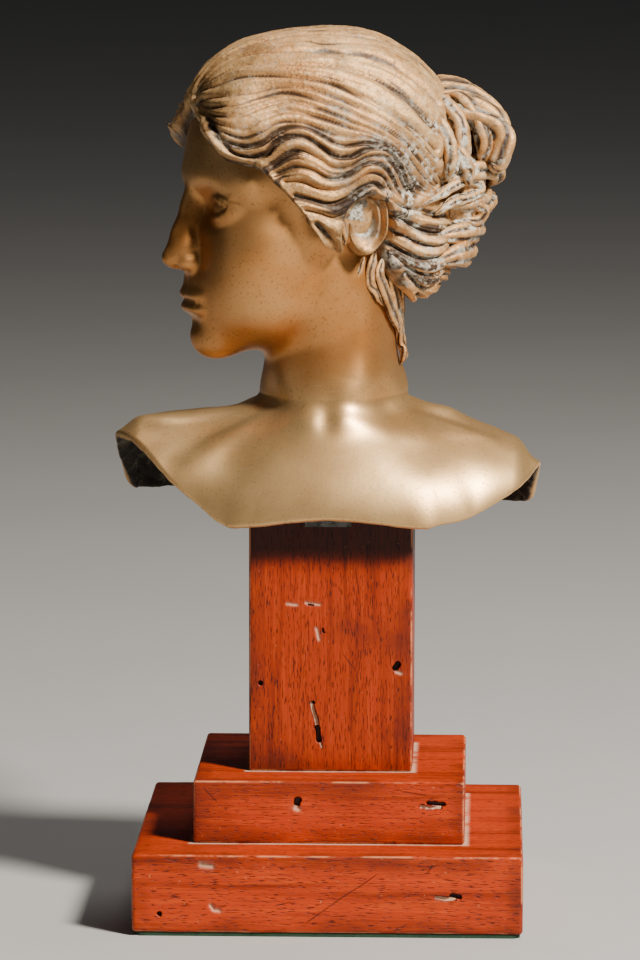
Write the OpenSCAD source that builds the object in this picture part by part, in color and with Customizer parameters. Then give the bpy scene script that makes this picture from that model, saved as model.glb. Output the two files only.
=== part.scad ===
// Bronze bust of a woman on a stepped mahogany base.
// Millimetres, +Z up, origin at the centre of the foot, the chest faces -Y.
// The castings are hollow. A rod ties them through the post and both plinths.

/* [Timber base] */
// Width of the square lower plinth
lower_plinth_w = 143; // [125:1:172]
// Thickness of the lower plinth
lower_plinth_h = 29; // [24:0.5:36]
// Width of the square upper plinth
upper_plinth_w = 100; // [84:1:120]
// Thickness of the upper plinth
upper_plinth_h = 23.5; // [19:0.5:30]
// Side of the square post
post_w = 60.6; // [48:0.1:62]
// Height of the post
post_h = 106; // [88:1:128]
// Chamfer along the timber edges
arris = 0.8; // [0.2:0.1:1.5]
// Thickness of the felt under the lower plinth
felt_t = 1.4; // [1:0.1:3]
// Distance from the plinth's edge to the felt's edge
felt_inset = 1; // [0.5:0.5:6]

/* [Fixings] */
// Thread diameter of the tie rod
rod_d = 8; // [6:0.1:10]
// Gap around the rod in the timber and the bridge bar
rod_gap = 0.5; // [0.2:0.1:1]
// Wood dowel diameter
dowel_d = 8; // [6:0.5:10]
// Depth of a dowel in each piece of timber
dowel_bite = 11; // [8:0.5:14]
// Distance between the dowels of one joint
dowel_span = 40; // [34:1:44]
// Shank diameter of the wood screws
screw_d = 4.5; // [3.5:0.1:5.5]
// Depth that a wood screw bites into the upper piece
screw_bite = 15; // [10:1:17]
// Spacing of the screws from the lower into the upper plinth
plinth_screw_span = 68; // [60:1:74]
// Spacing of the screws from the upper plinth into the post
post_screw_span = 36; // [32:1:38]
// Width of the bridge bar
bar_w = 22; // [18:0.5:26]
// Thickness of the bridge bar
bar_t = 5; // [4:0.5:7]
// Height of the lugs that carry the bridge bar
lug_h = 8; // [6:0.5:9]
// Gap between those lugs and the post
lug_gap = 1; // [0.5:0.1:1.2]
// Diameter of the rivets through the bridge bar and the lugs
rivet_d = 3; // [2:0.1:3.2]
// Width of the small plate on the front of the post
tab_w = 17; // [12:0.5:22]
// Height of that plate, which stands just below the front lug
tab_h = 5.5; // [4:0.5:9]
// Thickness of that plate
tab_t = 2; // [1:0.5:3]

/* [Shoulders] */
// From the centre line to the tip of the shoulder on the -X side
left_half_w = 81; // [74:0.5:90]
// From the centre line to the tip of the shoulder on the +X side
right_half_w = 77; // [70:0.5:86]
// Width of the chest between its two lower corners
chest_w = 86; // [76:1:96]
// From the centre line to the front of the chest
chest_d = 44; // [41:0.5:52]
// From the centre line to the back panel
back_d = 42; // [40:0.5:48]
// How far the chest hangs below the post's top
chest_drop = 12.5; // [9:0.5:16]
// Rise of the chest's lower edge in its middle
chest_arch = 3.5; // [0:0.5:6]
// Height of the shoulder tip on the -X side above the post's top
left_tip_z = 18; // [10:0.5:22]
// Height of the shoulder tip on the +X side above the post's top
right_tip_z = 7.5; // [4:0.5:16]
// Wall of the shoulder casting
shell_wall = 2.5; // [2:0.1:3.2]

/* [Neck and head] */
// Radius of the neck
neck_r = 26; // [24:0.5:28]
// Height of the neck's joint above the post's top
neck_rise = 32; // [30:0.5:36]
// Height of the chin above the neck's joint
chin_rise = 14; // [10:0.5:20]
// Height of the head from chin to crown, without the hair
head_h = 116; // [100:1:140]
// Turn of the head towards -X in degrees
head_turn = 70; // [40:1:80]
// Wall of the head casting
head_wall = 3; // [2.5:0.1:4]
// Height of the sleeve inside the neck's joint
sleeve_h = 13; // [8:1:14]
// Wall of that sleeve
sleeve_wall = 2.5; // [2:0.1:4]

/* [Chignon] */
// Half of the chignon's width
chignon_rx = 26; // [20:0.5:31]
// Half of its height
chignon_rz = 36; // [28:0.5:43]
// How far it stands out behind its centre
chignon_ry = 22; // [18:0.5:26]
// Depth of the twist's furrows as a share of its radius
furrow = 0.09; // [0:0.01:0.15]
// Wall of the chignon casting
chignon_wall = 3; // [2.5:0.1:4]

/* [Hidden] */
$fn = 48;

BRONZE = [0.62, 0.50, 0.34];
BRONZE_DARK = [0.42, 0.32, 0.19];
MAHOGANY = [0.55, 0.22, 0.11];
BEECH = [0.78, 0.63, 0.43];
STEEL = [0.60, 0.60, 0.60];
LEAD = [0.52, 0.53, 0.52];
FELT = [0.12, 0.20, 0.15];

slip = 0.05;                                  // fit of dowels, screws and nuts
touch = 0.15;                                 // gap between castings that are brazed together
lower_z = felt_t;
upper_z = lower_z + lower_plinth_h;
post_z = upper_z + upper_plinth_h;
post_top = post_z + post_h;
join_z = post_top + neck_rise;
chin_z = join_z + chin_rise;

nut_af = 1.625 * rod_d;                       // width across a hex nut's flats
nut_h = 0.8 * rod_d;
nut_r = nut_af / sqrt(3);
washer_r = 1.5 * rod_d;
washer_t = 0.25 * rod_d;
rod_spare = 4;                                // thread that stands proud of a nut
well_r = washer_r + 2;                        // recess for the nut under the lower plinth
well_h = washer_t + nut_h + rod_spare + 1;
screw_r = screw_d / 2;
screw_head_r = screw_d;
screw_head_h = 0.6 * screw_d;
sink_h = 10;                                  // counterbore of the plinth screws
plinth_dowel_bite = min(dowel_bite, upper_plinth_h - dowel_bite - 1);

// ---- square timber with worn edges ----

function cut_corners(w, h, c) = [[c, 0], [w - c, 0], [w, c], [w, h - c], [w - c, h], [c, h],
    [0, h - c], [0, c]];

module timber(w, h) {
    intersection() {
        translate([-w / 2, -w / 2, 0]) linear_extrude(h) polygon(cut_corners(w, w, arris));
        translate([-w / 2, w / 2, 0]) rotate([90, 0, 0]) linear_extrude(w)
            polygon(cut_corners(w, h, arris));
        translate([-w / 2, -w / 2, 0]) rotate([90, 0, 90]) linear_extrude(w)
            polygon(cut_corners(w, h, arris));
    }
}

module rod_hole(h) {
    translate([0, 0, -1]) cylinder(h = h + 2, r = rod_d / 2 + rod_gap);
}

// Positions at the corners of a square, and two on its middle line.
function corners(span) = [for (sx = [-1, 1], sy = [-1, 1]) [sx * span / 2, sy * span / 2, 0]];
function pair_x(span) = [[-span / 2, 0, 0], [span / 2, 0, 0]];
function pair_y(span) = [[0, -span / 2, 0], [0, span / 2, 0]];

// Straight-shank wood screw, its head down, its tip up. The origin is at its head's flat.
module wood_screw(length, gap = 0) {
    cylinder(h = screw_head_h + gap, r1 = screw_head_r + gap, r2 = screw_r + gap);
    cylinder(h = length - screw_d, r = screw_r + gap);
    translate([0, 0, length - screw_d - slip]) cylinder(h = screw_d, r1 = screw_r + gap, r2 = 0.3);
}

module washer(r, t) {
    difference() {
        cylinder(h = t, r = r);
        translate([0, 0, -1]) cylinder(h = t + 2, r = rod_d / 2 + slip);
    }
}

module hex_nut() {
    difference() {
        cylinder(h = nut_h, r = nut_r, $fn = 6);
        translate([0, 0, -1]) cylinder(h = nut_h + 2, r = rod_d / 2 + slip);
    }
}

// ---- triangles of a grid whose rows are closed loops ----
// A row is named by the index of its first point.

function two_tris(a, b, c, d, flip) = flip ? [[a, c, b], [a, d, c]] : [[a, b, c], [a, c, d]];
function band(ra, rb, n, flip = false) =
    [for (c = [0:n - 1]) each two_tris(ra + c, ra + (c + 1) % n, rb + (c + 1) % n, rb + c, flip)];
function bands(first, rows, n, flip = false) =
    [for (j = [0:rows - 2]) each band(first + j * n, first + (j + 1) * n, n, flip)];
function fan(row, tip, n, flip = false) =
    [for (c = [0:n - 1]) flip ? [row + (c + 1) % n, row + c, tip] : [row + c, row + (c + 1) % n, tip]];
function flat(rows) = [for (r = rows) each r];

// A wall between an outer and an inner grid, open at both ends.
module ring_wall(outer, inner) {
    n = len(outer[0]);
    rows = len(outer);
    in0 = rows * n;
    last = (rows - 1) * n;
    polyhedron(points = concat(flat(outer), flat(inner)), convexity = 8, faces = concat(
        bands(0, rows, n), bands(in0, rows, n, true),
        band(in0, 0, n), band(last, in0 + last, n)));
}

// The same, closed at its last row by a pole on each skin.
module dome_wall(outer, inner, outer_pole, inner_pole) {
    n = len(outer[0]);
    ro = len(outer);
    ri = len(inner);
    in0 = ro * n;
    poles = in0 + ri * n;
    polyhedron(points = concat(flat(outer), flat(inner), [outer_pole, inner_pole]), convexity = 8,
        faces = concat(
            bands(0, ro, n), fan((ro - 1) * n, poles, n),
            bands(in0, ri, n, true), fan(in0 + (ri - 1) * n, poles + 1, n, true),
            band(in0, 0, n)));
}

// ---- shoulders ----
// The rim is a closed smooth curve. Each column is a cubic curve from the neck's joint to the rim.

neck_x = -1;
neck_y = 2;
back_left_z = -7;                             // lower edge of the back panel, from the post's top
back_right_z = -11.5;
rim_steps = 3;                                // columns for each point of the rim
shell_rows = 13;

// One side of the rim from the chest's corner round the arm opening to the back panel. The rises
// are the shares of the way up from the corner to the tip at three places of the front edge.
left_rises = [0.52, 0.82, 0.97];
right_rises = [0.28, 0.50, 0.74];
function rim_side(s, half, tip, back, rises) = let(
    low = -chest_drop, up = tip - low, fall = tip - back) [
    [s * chest_w * 0.44, -chest_d + 3, low],
    [s * (chest_w / 2 + 2), -chest_d + 6.5, low + 2],
    [s * half * 0.72, -chest_d * 0.76, low + up * rises[0]],
    [s * half * 0.83, -chest_d * 0.60, low + up * rises[1]],
    [s * half * 0.93, -chest_d * 0.38, low + up * rises[2]],
    [s * half * 0.99, -chest_d * 0.14, tip],
    [s * half, back_d * 0.16, tip - fall * 0.15],
    [s * half * 0.995, back_d * 0.44, tip - fall * 0.50],
    [s * half * 0.97, back_d * 0.68, tip - fall * 0.93],
    [s * half * 0.87, back_d * 0.82, back],
    [s * half * 0.50, back_d * 0.97, back]];
function reversed(v) = [for (i = [len(v) - 1:-1:0]) v[i]];
rim_knots = concat([[0, -chest_d, chest_arch - chest_drop]],
    rim_side(-1, left_half_w, left_tip_z, back_left_z, left_rises),
    [[0, back_d, (back_left_z + back_right_z) / 2]],
    reversed(rim_side(1, right_half_w, right_tip_z, back_right_z, right_rises)));

function spline(a, b, c, d, t) =
    0.5 * (2 * b + (c - a) * t + (2 * a - 5 * b + 4 * c - d) * t * t
    + (3 * b - a - 3 * c + d) * t * t * t);
function closed_curve(k, steps) = let(n = len(k))
    [for (i = [0:n - 1], s = [0:steps - 1])
        spline(k[(i + n - 1) % n], k[i], k[(i + 1) % n], k[(i + 2) % n], s / steps)];
function unit(v) = v / norm(v);
function mix(a, b, t) = a + (b - a) * t;
function ease(t) = let(c = min(max(t, 0), 1)) c * c * (3 - 2 * c);
function cubic(a, b, c, d, t) = let(s = 1 - t)
    a * s * s * s + 3 * b * s * s * t + 3 * c * s * t * t + d * t * t * t;

// How far the rim lies in the open end of the shoulder: 0 on chest and back, 1 at the tip.
function tip_share(e) = ease((e.z + 6) / 22) * ease((abs(e.x) - chest_w / 2) / 22);
function shoulder_point(e, t) = let(
    out = unit([e.x - neck_x, e.y - neck_y, 0]),
    start = [neck_x, neck_y, neck_rise] + neck_r * out,
    fall = neck_rise - e.z,
    w = tip_share(e),
    c1 = start - [0, 0, 0.22 * fall + 2] + out,
    c2 = e + [0, 0, mix(0.52, 0.34, w) * fall] - out * mix(2, 21, w))
    cubic(start, c1, c2, e, t);

rim = closed_curve(rim_knots, rim_steps);
shell_outer = [for (j = [0:shell_rows - 1]) let(t = j / (shell_rows - 1))
    [for (e = rim) shoulder_point(e, t)]];
function shell_normal(j, c) = let(
    n = len(rim),
    along = shell_outer[j][(c + 1) % n] - shell_outer[j][(c + n - 1) % n],
    down = shell_outer[min(j + 1, shell_rows - 1)][c] - shell_outer[max(j - 1, 0)][c])
    unit(cross(down, along));
function shell_inner_point(j, c) = j == 0
    ? shell_outer[0][c] - shell_wall * unit(shell_outer[0][c] - [neck_x, neck_y, neck_rise])
    : shell_outer[j][c] + shell_wall * shell_normal(j, c);
shell_inner = [for (j = [0:shell_rows - 1]) [for (c = [0:len(rim) - 1]) shell_inner_point(j, c)]];

// Inner face of the chest and of the back on the middle line, at height z above the post's top.
back_column = rim_steps * 12;
function chest_face(z) = lookup(z, [for (row = shell_inner) [row[0].z, row[0].y]]);
function back_face(z) = lookup(z, [for (row = shell_inner) [row[back_column].z, row[back_column].y]]);

// ---- head ----
// Its own frame: the face looks to -Y, the chin is at z = 0, and the neck's axis is at y = neck_back.
// The surface is where a smooth blend of egg-shaped masses is zero. It is mirrored about x = 0.

neck_back = 9;
unit_h = head_h / 116;                        // the masses below are drawn for a head of 116
SKULL = [
    [[0, 6, 75], [36, 45, 41], 4],            // skull
    [[0, -13, 62], [31, 32, 34], 12],         // upper face
    [[0, -13.5, 80], [28.5, 31, 27], 10],     // forehead
    [[0, -16, 40], [26, 28.5, 30], 8],        // middle of the face
    [[0, -16, 21], [22.5, 27, 18], 8]];       // jaw
FACE = [
    [[0, -35, 8.5], [10, 10, 8.5], 8],        // chin
    [[18, -25, 42], [12.5, 13, 12], 10],      // cheekbone
    [[11, -36, 67], [14, 8, 5], 8],           // brow
    [[0, -44.5, 50], [5, 7, 15], 7],          // bridge of the nose
    [[0, -49.5, 38.5], [6.5, 7, 5.5], 6],     // tip of the nose
    [[5, -46.5, 37], [4.6, 5.5, 4.4], 4],     // wing of the nose
    [[0, -42.5, 21.5], [11, 6.5, 6], 5]];     // lips
HAIR = [
    [[0, 10, 78], [40, 46, 44], 3],           // hair combed back over the skull
    [[0, -10, 87], [34, 37, 33], 8],          // hair over the forehead
    [[19, -25, 84], [16, 20, 15], 6],         // roll along the temple
    [[29, 2, 62], [12, 25, 20], 6],           // waves over the ear
    [[0, 38, 44], [27, 16, 19], 6],           // hair of the nape
    [[13, 33, 40], [15, 15, 17], 5],          // locks behind the ear
    [[36, 9, 46], [4, 8, 11], 3]];            // ear

// Distance from an egg-shaped mass, close to true near its surface.
function egg(p, c, r) = let(
    q = [(p.x - c.x) / r.x, (p.y - c.y) / r.y, (p.z - c.z) / r.z],
    k = norm(q),
    g = norm([q.x / r.x, q.y / r.y, q.z / r.z]))
    g < 1e-9 ? -min(r) : k * (k - 1) / g;
function soft_min(a, b, k) = let(h = max(k - abs(a - b), 0) / k) min(a, b) - h * h * k / 4;
function masses(list, p, i, d) = i == len(list) ? d
    : masses(list, p, i + 1, soft_min(d, egg(p, list[i][0], list[i][1]), list[i][2]));
neck_top = 30;                                // the neck ends inside the skull
function neck_field(p) = norm([p.x, p.y - neck_back, max(p.z - neck_top, 0)]) - neck_r;
function field(list, p) = let(q = [abs(p.x), p.y, p.z] / unit_h)
    soft_min(masses(list, q, 1, egg(q, list[0][0], list[0][1])) * unit_h, neck_field(p), 7);

// Distance along a ray from inside to the surface, by halving.
function reach(list, o, d, lo, hi, n) = n == 0 ? (lo + hi) / 2
    : let(m = (lo + hi) / 2)
    field(list, o + d * m) > 0 ? reach(list, o, d, lo, m, n - 1) : reach(list, o, d, m, hi, n - 1);

eye_h = 40 * unit_h;                          // height of the point that the rays start from
ray_origin = [0, neck_back, eye_h];
ray_max = 100 * unit_h;
head_cols = 60;
head_rows = 46;
core_rows = 18;
neck_rows = 3;
core_depth = head_wall + 0.6;                 // the inner skin is plainer, so it lies a little deeper
face_share = 27;                              // degrees by which the columns crowd to the face
nape_rise = 20;                               // the nape's first row stands this much above the jaw's
// Angle round the neck from the face.
function turn_of(c, n) = let(a = 360 * c / n) a - face_share * sin(a);
// The lowest ray ends where the neck meets the jaw.
function low_angle(a) = -atan((eye_h + 3 - nape_rise * (1 - cos(a)) / 2) / neck_r);
function ray(a, e) = [sin(a) * cos(e), -cos(a) * cos(e), sin(e)];
function head_hit(list, a, e) = let(d = ray(a, e))
    ray_origin + d * reach(list, ray_origin, d, 5, ray_max, 13);
function neck_ring(a, r) = [r * sin(a), neck_back - r * cos(a), -chin_rise];
function head_row(list, r, j, rows) = [for (c = [0:head_cols - 1]) let(
    a = turn_of(c, head_cols),
    low = low_angle(a),
    e = mix(low, 90, (j - neck_rows) / (rows - neck_rows)))
    j >= neck_rows ? head_hit(list, a, e)
        : mix(neck_ring(a, r), head_hit(list, a, low), j / neck_rows)];
HEAD = concat(SKULL, FACE, HAIR);

// The inner skin is the skull and neck alone, drawn in by the wall.
function drawn_in(p, o, by) = let(v = p - o) o + v * (1 - by / norm(v));
function core_row(j) = [for (c = [0:head_cols - 1]) let(
    a = turn_of(c, head_cols),
    low = low_angle(a),
    e = mix(low, 90, (j - neck_rows) / (core_rows - neck_rows)),
    hit = head_hit(SKULL, a, max(e, low)),
    axis_point = [0, neck_back, hit.z])
    j > neck_rows ? drawn_in(hit, ray_origin, core_depth)
        : let(top = drawn_in(hit, axis_point, head_wall))
        mix(neck_ring(a, neck_r - head_wall), top, j / neck_rows)];

module in_head_frame() {
    translate([neck_x, neck_y, chin_z]) rotate([0, 0, -head_turn])
        translate([0, -neck_back, 0]) children();
}

// ---- chignon ----
// Seen from its own centre it is an egg with spiral furrows, cut off where it meets the hair.

chignon_c = [0, 60, 62] * unit_h;
chignon_cols = 40;
chignon_rows = 15;
chignon_ends = [60, 150];                     // its skin meets the hair between these angles
function chignon_ray(a, b) = [sin(a) * cos(b), cos(a), sin(a) * sin(b)];
function chignon_free(a, b) = let(
    d = chignon_ray(a, b),
    lean = 1 + furrow * cos(3 * b + 2.6 * a) * sin(min(a * 1.4, 90)))
    lean / norm([d.x / chignon_rx, d.y / chignon_ry, d.z / chignon_rz]);
// Angle from its axis at which the skin comes within a small gap of the hair, by halving.
function chignon_end(b, lo, hi, n) = n == 0 ? lo
    : let(m = (lo + hi) / 2)
    field(HEAD, chignon_c + chignon_ray(m, b) * chignon_free(m, b)) > touch
        ? chignon_end(b, m, hi, n - 1) : chignon_end(b, lo, m, n - 1);
function chignon_row(ends, j, wall) = [for (c = [0:chignon_cols - 1]) let(
    a = ends[c] * (chignon_rows - j) / chignon_rows,
    b = -360 * c / chignon_cols)
    chignon_c + chignon_ray(a, b) * (chignon_free(a, b) - wall)];

// ---- pieces ----

module head_casting() {
    color(BRONZE) in_head_frame() dome_wall(
        [for (j = [0:head_rows - 1]) head_row(HEAD, neck_r, j, head_rows)],
        [for (j = [0:core_rows - 1]) core_row(j)],
        head_hit(HEAD, 0, 90),
        drawn_in(head_hit(SKULL, 0, 90), ray_origin, core_depth));
}

module chignon_casting() {
    ends = [for (c = [0:chignon_cols - 1])
        chignon_end(-360 * c / chignon_cols, chignon_ends[0], chignon_ends[1], 9)];
    color(BRONZE_DARK) in_head_frame() dome_wall(
        [for (j = [0:chignon_rows - 1]) chignon_row(ends, j, 0)],
        [for (j = [0:chignon_rows - 1]) chignon_row(ends, j, chignon_wall)],
        chignon_c + [0, chignon_free(0, 0), 0],
        chignon_c + [0, chignon_free(0, 0) - chignon_wall, 0]);
}

module shoulder_casting() {
    color(BRONZE) translate([0, 0, post_top]) ring_wall(shell_outer, shell_inner);
}

module neck_sleeve() {
    r = neck_r - max(head_wall, shell_wall) - 0.4;
    color(BRONZE_DARK) translate([neck_x, neck_y, join_z - sleeve_h / 3]) difference() {
        cylinder(h = sleeve_h, r = r);
        translate([0, 0, -1]) cylinder(h = sleeve_h + 2, r = r - sleeve_wall);
    }
}

lug_face_y = post_w / 2 + lug_gap;            // inner face of each lug
rivet_y = lug_face_y + rivet_d / 2 + 0.3;
bar_end_gap = 0.3;

module bridge_bar() {
    front = chest_face(bar_t) + bar_end_gap;
    back = back_face(bar_t) - bar_end_gap;
    color(STEEL) translate([0, 0, post_top]) difference() {
        translate([-bar_w / 2, front, 0]) cube([bar_w, back - front, bar_t]);
        rod_hole(bar_t);
        for (y = [-rivet_y, rivet_y]) translate([0, y, -1])
            cylinder(h = bar_t + 2, r = rivet_d / 2 + slip);
    }
}

// Each lug's end follows the slope of the wall that it is brazed to.
module bridge_lugs() {
    bite = 0.6;
    w = bar_w - 6;
    color(BRONZE_DARK) translate([0, 0, post_top]) difference() {
        translate([-w / 2, 0, 0]) rotate([90, 0, 90]) linear_extrude(w) {
            polygon([[chest_face(0) - bite, 0], [chest_face(-lug_h) - bite, -lug_h],
                [-lug_face_y, -lug_h], [-lug_face_y, 0]]);
            polygon([[lug_face_y, 0], [lug_face_y, -lug_h],
                [back_face(-lug_h) + bite, -lug_h], [back_face(0) + bite, 0]]);
        }
        for (y = [-rivet_y, rivet_y]) translate([0, y, -lug_h - 1])
            cylinder(h = lug_h + 2, r = rivet_d / 2 + slip);
    }
}

module bridge_rivets() {
    color(BRONZE_DARK) for (y = [-rivet_y, rivet_y]) translate([0, y, post_top - lug_h])
        cylinder(h = lug_h + bar_t, r = rivet_d / 2);
}

nut_top = post_top + bar_t + washer_t + nut_h;
well_top = lower_z + well_h;

module tie_rod() {
    low = well_top - washer_t - nut_h - rod_spare;
    color(STEEL) translate([0, 0, low]) cylinder(h = nut_top + rod_spare - low, r = rod_d / 2);
}

module bust_washer() {
    color(STEEL) translate([0, 0, post_top + bar_t]) washer(min(washer_r, bar_w / 2), washer_t);
}

module bust_nut() {
    color(STEEL) translate([0, 0, post_top + bar_t + washer_t]) hex_nut();
}

module front_tab() {
    color(LEAD) translate([-1 - tab_w / 2, -post_w / 2 - tab_t, post_top - lug_h - 0.5 - tab_h])
        cube([tab_w, tab_t, tab_h]);
}

module post() {
    color(MAHOGANY) translate([0, 0, post_z]) difference() {
        timber(post_w, post_h);
        rod_hole(post_h);
        for (p = pair_x(dowel_span)) translate(p - [0, 0, 1])
            cylinder(h = dowel_bite + 1 + slip, r = dowel_d / 2 + slip);
        for (p = corners(post_screw_span)) translate(p - [0, 0, upper_plinth_h])
            wood_screw(upper_plinth_h + screw_bite, slip);
    }
}

module upper_plinth() {
    color(MAHOGANY) translate([0, 0, upper_z]) difference() {
        timber(upper_plinth_w, upper_plinth_h);
        rod_hole(upper_plinth_h);
        for (p = pair_x(dowel_span)) translate(p + [0, 0, upper_plinth_h - dowel_bite - slip])
            cylinder(h = dowel_bite + 1, r = dowel_d / 2 + slip);
        for (p = corners(post_screw_span)) translate(p) wood_screw(upper_plinth_h + 10, slip);
        for (p = pair_y(dowel_span)) translate(p - [0, 0, 1])
            cylinder(h = plinth_dowel_bite + 1 + slip, r = dowel_d / 2 + slip);
        for (p = corners(plinth_screw_span)) translate(p - [0, 0, lower_plinth_h - sink_h])
            wood_screw(lower_plinth_h - sink_h + screw_bite, slip);
    }
}

module lower_plinth() {
    color(MAHOGANY) translate([0, 0, lower_z]) difference() {
        timber(lower_plinth_w, lower_plinth_h);
        rod_hole(lower_plinth_h);
        translate([0, 0, -1]) cylinder(h = well_h + 1, r = well_r);
        for (p = pair_y(dowel_span)) translate(p + [0, 0, lower_plinth_h - plinth_dowel_bite - slip])
            cylinder(h = plinth_dowel_bite + 1, r = dowel_d / 2 + slip);
        for (p = corners(plinth_screw_span)) {
            translate(p - [0, 0, 1]) cylinder(h = sink_h + 1, r = screw_head_r + 1);
            translate(p + [0, 0, sink_h]) wood_screw(lower_plinth_h + screw_bite, slip);
        }
    }
}

module post_dowels() {
    color(BEECH) for (p = pair_x(dowel_span)) translate(p + [0, 0, post_z - dowel_bite])
        cylinder(h = 2 * dowel_bite, r = dowel_d / 2);
}

module plinth_dowels() {
    color(BEECH) for (p = pair_y(dowel_span)) translate(p + [0, 0, upper_z - plinth_dowel_bite])
        cylinder(h = 2 * plinth_dowel_bite, r = dowel_d / 2);
}

module post_screws() {
    color(STEEL) for (p = corners(post_screw_span)) translate(p + [0, 0, upper_z])
        wood_screw(upper_plinth_h + screw_bite);
}

module plinth_screws() {
    color(STEEL) for (p = corners(plinth_screw_span)) translate(p + [0, 0, lower_z + sink_h])
        wood_screw(lower_plinth_h - sink_h + screw_bite);
}

module base_washer() {
    color(STEEL) translate([0, 0, well_top - washer_t]) washer(washer_r, washer_t);
}

module base_nut() {
    color(STEEL) translate([0, 0, well_top - washer_t - nut_h]) hex_nut();
}

module felt_pad() {
    w = lower_plinth_w - 2 * felt_inset;
    color(FELT) translate([-w / 2, -w / 2, 0]) linear_extrude(felt_t)
        polygon(cut_corners(w, w, 2));
}

head_casting();
chignon_casting();
shoulder_casting();
neck_sleeve();
bridge_bar();
bridge_lugs();
bridge_rivets();
tie_rod();
bust_washer();
bust_nut();
front_tab();
post();
upper_plinth();
lower_plinth();
post_dowels();
plinth_dowels();
post_screws();
plinth_screws();
base_washer();
base_nut();
felt_pad();
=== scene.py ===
import math

import bpy
import numpy as np
from mathutils import Matrix, Vector


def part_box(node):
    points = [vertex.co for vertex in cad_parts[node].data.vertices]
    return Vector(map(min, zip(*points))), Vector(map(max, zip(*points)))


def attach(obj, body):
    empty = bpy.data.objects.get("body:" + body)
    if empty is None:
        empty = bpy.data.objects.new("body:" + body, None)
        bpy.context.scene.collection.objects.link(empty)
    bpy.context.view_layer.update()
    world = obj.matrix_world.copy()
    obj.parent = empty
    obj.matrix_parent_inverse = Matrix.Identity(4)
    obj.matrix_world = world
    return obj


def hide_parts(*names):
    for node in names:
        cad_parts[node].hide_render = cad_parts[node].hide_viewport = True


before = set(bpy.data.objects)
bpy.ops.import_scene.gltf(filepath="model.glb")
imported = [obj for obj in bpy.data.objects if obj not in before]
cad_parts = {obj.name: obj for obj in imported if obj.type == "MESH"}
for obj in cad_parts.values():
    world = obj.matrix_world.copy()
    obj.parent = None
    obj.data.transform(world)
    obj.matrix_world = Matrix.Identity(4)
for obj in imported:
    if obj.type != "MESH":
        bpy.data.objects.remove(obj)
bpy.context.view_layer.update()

bl_info = {
    "name": "Bronze bust on a stepped base",
    "version": (1, 0, 0),
    "blender": (4, 5, 0),
    "location": "3D View > Sidebar > Bust",
    "description": "Builds a cast bronze bust with a chignon on an old mahogany base",
    "category": "Add Mesh",
}

MM = 0.001


def corner_mm(node, high):
    """Lowest or highest corner of a CAD node, in millimetres."""
    return np.array(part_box(node)[1 if high else 0], dtype=float) / MM


SLEEVE_LOW = corner_mm("neck_sleeve", False)
SLEEVE_HIGH = corner_mm("neck_sleeve", True)
NECK_X = (SLEEVE_LOW[0] + SLEEVE_HIGH[0]) / 2
NECK_Y = (SLEEVE_LOW[1] + SLEEVE_HIGH[1]) / 2
NECK_R = 26.0
SHELL_WALL = 3.0
JOIN_Z = corner_mm("head_casting", False)[2]
POST_TOP = corner_mm("post", True)[2]
CHIN_RISE = 14.0
CHIN_Z = JOIN_Z + CHIN_RISE
NECK_BACK = 9.0
HEAD_TURN = math.radians(70)


# ---- numbers spread over a surface: smooth noise, easing, and blends of forms ----

def ease(t):
    """Smooth step from 0 to 1: 3t^2 - 2t^3, held outside."""
    c = np.clip(t, 0.0, 1.0)
    return c * c * (3.0 - 2.0 * c)


def bell(d, width=1.0):
    """A bell curve of a distance: 1 at 0, and about a third at the width."""
    return np.exp(-(d / width) ** 2)


def unit(v):
    """Vectors of length 1 along v."""
    return v / np.linalg.norm(v, axis=-1, keepdims=True)


def hashed(ix, iy, iz, seed):
    """A repeatable number from 0 to 1 for each lattice point."""
    n = (ix * 374761393 + iy * 668265263 + iz * 2147483647 + seed * 974711) & 0xFFFFFFFF
    n = ((n ^ (n >> 13)) * 1274126177) & 0xFFFFFFFF
    n = ((n ^ (n >> 16)) * 2246822519) & 0xFFFFFFFF
    return ((n ^ (n >> 15)) & 0xFFFF) / 65535.0


def noise3(p, size, seed=1):
    """Value noise from -1 to 1: lattice numbers blended with smooth steps. p is (..., 3)."""
    q = np.asarray(p) / size
    base = np.floor(q).astype(np.int64)
    f = q - base
    f = f * f * (3 - 2 * f)
    total = 0.0
    for dx in (0, 1):
        for dy in (0, 1):
            for dz in (0, 1):
                w = ((f[..., 0] if dx else 1 - f[..., 0]) * (f[..., 1] if dy else 1 - f[..., 1])
                     * (f[..., 2] if dz else 1 - f[..., 2]))
                total = total + w * hashed(base[..., 0] + dx, base[..., 1] + dy,
                                           base[..., 2] + dz, seed)
    return total * 2 - 1


def streaks(across, along, cells, length_cells, seed):
    """Value noise from -1 to 1 that is drawn out along one direction.

    across runs from 0 to 1 and closes on itself over the given number of cells."""
    u = np.mod(across, 1.0) * cells
    v = along * length_cells
    iu = np.floor(u).astype(np.int64)
    iv = np.floor(v).astype(np.int64)
    fu = ease(u - iu)
    fv = ease(v - iv)
    zero = np.zeros_like(iu)
    a = hashed(iu % cells, iv, zero, seed)
    b = hashed((iu + 1) % cells, iv, zero, seed)
    c = hashed(iu % cells, iv + 1, zero, seed)
    d = hashed((iu + 1) % cells, iv + 1, zero, seed)
    return ((a * (1 - fu) + b * fu) * (1 - fv) + (c * (1 - fu) + d * fu) * fv) * 2 - 1


def blend(a, b, k):
    """The nearer of two forms, with a fillet about k wide between them."""
    h = np.maximum(k - np.abs(a - b), 0.0) / k
    return np.minimum(a, b) - h * h * k / 4


def carve(a, b, k):
    """Form a with form b taken out, with a rounded edge about k wide."""
    return -blend(-a, b, k)


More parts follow.
